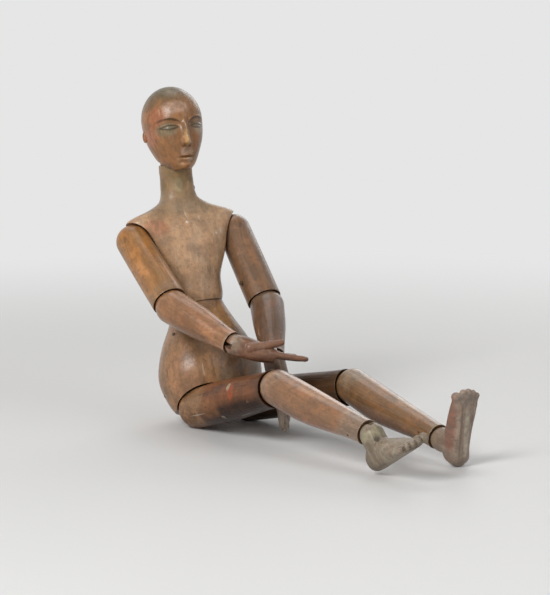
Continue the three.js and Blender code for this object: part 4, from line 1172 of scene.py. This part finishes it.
def makeHand(size, inward):
    r = balls["wrist"]["r"]
    palm, wide, deep, long = size["palm"], size["palmWide"], size["palmDeep"], size["long"]
    sections = [
        (-palm, wide, deep - 0.6, -0.5), (-0.65 * palm, wide, deep + 0.4, -0.5),
        (-0.25 * palm, r, deep + 1, 0), (0, r, r, 0),
    ]
    parts = [stack("palm", limbRings(r, sections, 24, 2.4), (0, 0, -palm - 0.5), (0, 0, r))]
    finger, knuckle = wide / size["fingersWide"], 3 - palm
    shares = [i / size["steps"] for i in range(size["steps"] + 1)]
    radii = digitRadii(shares, finger, size["taper"], size["knuckles"])
    for k, short in enumerate(size["shortBy"]):
        x = inward * finger * (size["firstFinger"] - size["fingerStep"] * k)
        tip = short - long + 1.2
        points = []
        for t in shares:
            points.append((x * (1 - size["close"] * t), 0.2 + size["curl"] * t * t, knuckle + (tip - knuckle) * t))
        parts.append(tube("finger", points, radii))
        nailPlace = (points[-1][0], points[-1][1] - radii[-1] + 0.25, tip + 0.9)
        parts.append(makeNail("nail", nailPlace, radii[-1] * 0.8, size["nail"]))
    points = []
    for t in shares:
        lift = size["thumbLift"] * (0.75 * t + 0.25 * t * t)
        across = inward * (0.6 * wide + size["thumbSpread"] * t)
        points.append((across, 0.5 + lift, -0.35 * palm - (size["thumb"] - 1.2) * t))
    parts.append(tube("thumb", points, digitRadii(shares, finger, size["thumbTaper"], size["thumbKnuckles"])))
    end = points[int(size["web"] * size["steps"])]
    root = (inward * 0.5 * wide, 0.6, -0.4 * palm)
    corner = (inward * 0.42 * wide, 0.6, 1 - palm)
    middle = tuple((a + 2 * b) / 3 for a, b in zip(end, corner))
    parts.append(tube("web", [root, middle, corner], [finger * 1.35, finger * 1.3, finger * 1.05]))
    obj = joined("hand", parts)
    return blendRemesh(obj, size["voxel"], size["smooth"])


def makeFoot(size, inward):
    ankle, back, long, toe = size["ankle"], size["heelBack"], size["long"], size["toe"]
    heelWide, ballWide = size["heelWide"], size["ballWide"]
    sections = [
        (0.6, 0.5 * heelWide, 3.6, 5.6 - ankle), (4, heelWide, 6.4, 6.4 - ankle), (back, heelWide, 8.6, 8.2 - ankle),
        (back + 9, heelWide + 0.6, 6.8, 6.4 - ankle), (long - toe - 8, ballWide, 4.6, 4.2 - ankle),
    ]
    which = 0 if inward > 0 else 1
    if which:  # the left toes are worn into one pad
        sections += [(long - toe + 1, ballWide - 0.4, 3, 2.7 - ankle), (long - 2.4, ballWide - 2.4, 2.2, 2.3 - ankle)]
    else:
        sections.append((long - toe + 0.4, ballWide - 0.4, 2.5, 2.3 - ankle))
    heelEnd, toeEnd = (0, sections[0][3], -0.4), (0, sections[-1][3], sections[-1][0] + 0.3)
    body = stack("sole", sectionRings(sections, 40, 2.3, 48), heelEnd, toeEnd)
    body.data.transform(Matrix.Translation((0, back, 0)) @ Matrix.Rotation(pi / 2, 4, "X"))
    r = balls["ankle"]["r"]
    shankLow = -0.6 * ankle
    shankSections = [(shankLow, r - 0.2, r - 0.2, 0), (-0.3 * ankle, r, r, 0), (0, r, r, 0)]
    shank = stack("shank", limbRings(r, shankSections, 12, 2.0), (0, 0, shankLow - 0.5), (0, 0, r))
    parts = [body, shank]
    x = ballWide + 0.3
    shares = [i / 6 for i in range(7)]
    for radius, short in zip(size["toeR"], size["toeShort"][which]):
        x -= radius
        end, high = back - long + short, radius + 0.6 + size["lift"][which] - ankle
        points = []
        for t in shares:
            ahead = end + (toe + 1) * (1 - t) + radius * 0.9 * t
            points.append((inward * x * (0.95 + 0.05 * t), ahead, high - 0.7 * t))
        radii = [radius * (1.0 - 0.2 * sin(pi * t) + 0.1 * t * t) for t in shares]
        parts.append(tube("toe", points, radii))
        x -= radius + size["toeGap"][which]
    obj = blendRemesh(joined("foot", parts), size["voxel"], size["wear"][which])
    return cut(obj, block("ground", (-60, -90, -ankle - 40), (60, 60, -ankle)))


for side, inward in (("right", 1), ("left", -1)):
    for part, maker, size, joint in (("hand", makeHand, handSize, "wrist"), ("foot", makeFoot, footSize, "ankle")):
        piece = side + "_" + part
        finishPiece(cutSlot(maker(size, inward), side + "_" + joint), piece)
print("hands and feet made")

# pegs and pins: Geometry Nodes set a dowel with crowned ends at each place
dowelSize = {  # metres; a slipped peg stands out of its hole
    "sides": 28, "crown": 0.00022, "proud": -0.0001, "slipped": {"left_elbow_peg": (-0.0014, 0, 0)}, "sharp": 40,
}


def makeDowelTree():
    tree, start, end = geometryTree("dowels", [("Sides", "Int", 24), ("Crown", "Float", 0.0002), ("Wood", "Material")])
    add, calc = partial(addNode, tree), partial(mathNode, tree)

    def named(label):
        return add("GeometryNodeInputNamedAttribute", {"Name": label}, data_type="FLOAT_VECTOR").outputs[0]

    shaft = add("GeometryNodeMeshCylinder", {
        "Vertices": start.outputs["Sides"], "Side Segments": 3, "Fill Segments": 4, "Radius": 1, "Depth": 2,
    })
    along, dowel = named("along"), named("size")
    direction = add("FunctionNodeAlignRotationToVector", {"Vector": along}, axis="Z")
    put = add("GeometryNodeInstanceOnPoints", {
        "Points": start.outputs["Geometry"], "Instance": shaft.outputs["Mesh"],
        "Rotation": direction.outputs[0], "Scale": dowel,
    })
    real = add("GeometryNodeRealizeInstances", {0: put.outputs[0]})

    # the end faces fall away towards their rims
    size = add("ShaderNodeSeparateXYZ", {0: dowel})
    offset = vectorNode(tree, "SUBTRACT", add("GeometryNodeInputPosition").outputs[0], named("centre"))
    height = vectorNode(tree, "DOT_PRODUCT", offset, along)
    aside = vectorNode(tree, "LENGTH", vectorNode(tree, "SUBTRACT", offset, scaled(tree, along, height)))
    share = calc("DIVIDE", aside, size.outputs["X"])
    atEnd = calc("GREATER_THAN", calc("ABSOLUTE", height), calc("MULTIPLY", size.outputs["Z"], 0.98))
    fall = calc("MULTIPLY", calc("POWER", share, 2.0), start.outputs["Crown"])
    fall = calc("MULTIPLY", calc("MULTIPLY", fall, atEnd), calc("SIGN", height))
    sunk = scaled(tree, along, calc("MULTIPLY", fall, -1.0))
    crowned = add("GeometryNodeSetPosition", {"Geometry": real.outputs[0], "Offset": sunk})
    paintAll(tree, start, end, crowned.outputs[0])
    return tree


dowelTree = makeDowelTree()


def rodOf(node):  # centre, direction and half length of a straight CAD rod
    points = np.array([v.co for v in frame["nodes"][node].data.vertices])
    flat = points - points.mean(0)
    along = np.linalg.svd(flat, full_matrices=False)[2][0]
    reach = flat @ along
    centre = points.mean(0) + along * (reach.max() + reach.min()) / 2
    return centre, along, (reach.max() - reach.min()) / 2


bodyRods = {}
for node in frame["nodes"]:
    if node.endswith(("_pin", "_peg")):
        bodyRods.setdefault(frame["nodes"][node]["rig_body"], []).append(node)
for body, nodes in bodyRods.items():
    centres, alongs, sizes = [], [], []
    for node in nodes:
        centre, along, half = rodOf(node)
        joint, sort = node.rsplit("_", 1)
        radius = ballOf[joint]["fit"][sort] * mm
        slip = np.array(dowelSize["slipped"].get(node, (0, 0, 0)))
        centres.append(centre + along * (slip @ along))
        alongs.append(along)
        sizes.append((radius, radius, half + dowelSize["proud"]))
    obj = meshObject(body + "_dowels", centres, [])
    for label, rows in (("along", alongs), ("size", sizes), ("centre", centres)):
        layer = obj.data.attributes.new(label, "FLOAT_VECTOR", "POINT")
        layer.data.foreach_set("vector", np.array(rows, dtype=np.float32).ravel())
    runTree(obj, dowelTree, {"Sides": dowelSize["sides"], "Crown": dowelSize["crown"], "Wood": woods["peg"]})
    obj.data.shade_smooth()
    obj.data.set_sharp_from_angle(angle=radians(dowelSize["sharp"]))
    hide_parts(*nodes)
    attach(obj, body)
for node, obj in frame["nodes"].items():
    if node.endswith("_tongue"):
        obj.data.materials.clear()
        obj.data.materials.append(woods["tongue"])

# studio
stageSize = {
    "floor": 6.0, "floorTint": (0.72, 0.72, 0.715), "floorRough": 0.6, "wallTint": (0.79, 0.79, 0.79),
    "fade": (0.28, 1.0), "softTint": (1.0, 0.98, 0.95), "soft": 0.27, "middle": (0, 0.02, 0.09),
}
lamps = {  # place from the middle of the figure, width in m, power in W
    "window": ((-1.28, -0.42, 0.86), 0.7, 18.5), "fill": ((0.35, -1.35, 0.75), 1.0, 3.6),
    "top": ((0.2, 0.5, 1.3), 0.8, 3.0), "rear": ((1.2, 0.75, 0.7), 0.9, 3.6),
}


def seenRay(tree):  # what the camera sees, also in gloss and glass
    ray = addNode(tree, "ShaderNodeLightPath").outputs
    seen = mathNode(tree, "MAXIMUM", ray["Is Camera Ray"], ray["Is Glossy Ray"])
    return mathNode(tree, "MAXIMUM", seen, ray["Is Transmission Ray"])


def makeStage(size):
    half = size["floor"]
    corners = [(-half, -half, 0), (half, -half, 0), (half, half, 0), (-half, half, 0)]
    floor = meshObject("floor", corners, [(0, 1, 2, 3)])
    mat, tree, shader = newMaterial("pale_floor")
    fill(tree, shader, {"Base Color": size["floorTint"], "Roughness": size["floorRough"]})
    place = addNode(tree, "ShaderNodeTexCoord").outputs["Object"]
    away = times(tree, ramp(tree, vectorNode(tree, "LENGTH", place), *size["fade"]), seenRay(tree))
    wall = addNode(tree, "ShaderNodeEmission", {"Color": size["wallTint"]})
    mix = addNode(tree, "ShaderNodeMixShader", {0: away, 1: shader.outputs[0], 2: wall.outputs[0]})
    fill(tree, tree.nodes["Material Output"], {"Surface": mix.outputs[0]})
    floor.data.materials.append(mat)


def makeWorld(size):
    world = bpy.data.worlds.new("studio")
    bpy.context.scene.world = world
    world.use_nodes = True
    tree = world.node_tree
    tree.nodes.clear()
    soft = addNode(tree, "ShaderNodeBackground", {"Color": size["softTint"], "Strength": size["soft"]})
    wall = addNode(tree, "ShaderNodeBackground", {"Color": size["wallTint"]})
    mix = addNode(tree, "ShaderNodeMixShader", {0: seenRay(tree), 1: soft.outputs[0], 2: wall.outputs[0]})
    addNode(tree, "ShaderNodeOutputWorld", {"Surface": mix.outputs[0]})


def hangLamp(name, place, wide, power):  # a round soft lamp that faces the figure
    data = bpy.data.lights.new(name, "AREA")
    data.shape = "DISK"
    data.size = wide
    data.energy = power
    lamp = bpy.data.objects.new(name, data)
    lamp.location = Vector(stageSize["middle"]) + Vector(place)
    lamp.rotation_euler = (-Vector(place)).to_track_quat("-Z", "Y").to_euler()
    bpy.context.scene.collection.objects.link(lamp)


makeStage(stageSize)
makeWorld(stageSize)
for name, (place, wide, power) in lamps.items():
    hangLamp(name, place, wide, power)
print("studio lit by", len(lamps), "lamps")

# the photographed view, image taken as 550 by 595
cameraFit = {
    "aside": -0.7857, "ahead": -1.0562, "high": 0.256, "pitch": 7.7, "azimuth": 38,
    "focal": 2183, "imageWide": 550, "sensor": 36,
}
midHip = origin["pelvis"]
camera = bpy.data.objects.new("camera", bpy.data.cameras.new("camera"))
bpy.context.scene.collection.objects.link(camera)
camera.location = (midHip.x + cameraFit["aside"], midHip.y + cameraFit["ahead"], cameraFit["high"])
pitch, azimuth = radians(cameraFit["pitch"]), radians(cameraFit["azimuth"])
look = Vector((sin(azimuth) * cos(pitch), cos(azimuth) * cos(pitch), -sin(pitch)))
camera.rotation_euler = look.to_track_quat("-Z", "Y").to_euler()
camera.data.sensor_fit = "HORIZONTAL"
camera.data.sensor_width = cameraFit["sensor"]
camera.data.lens = cameraFit["focal"] / cameraFit["imageWide"] * cameraFit["sensor"]
bpy.context.scene.camera = camera
bpy.context.scene.view_settings.view_transform = "Standard"
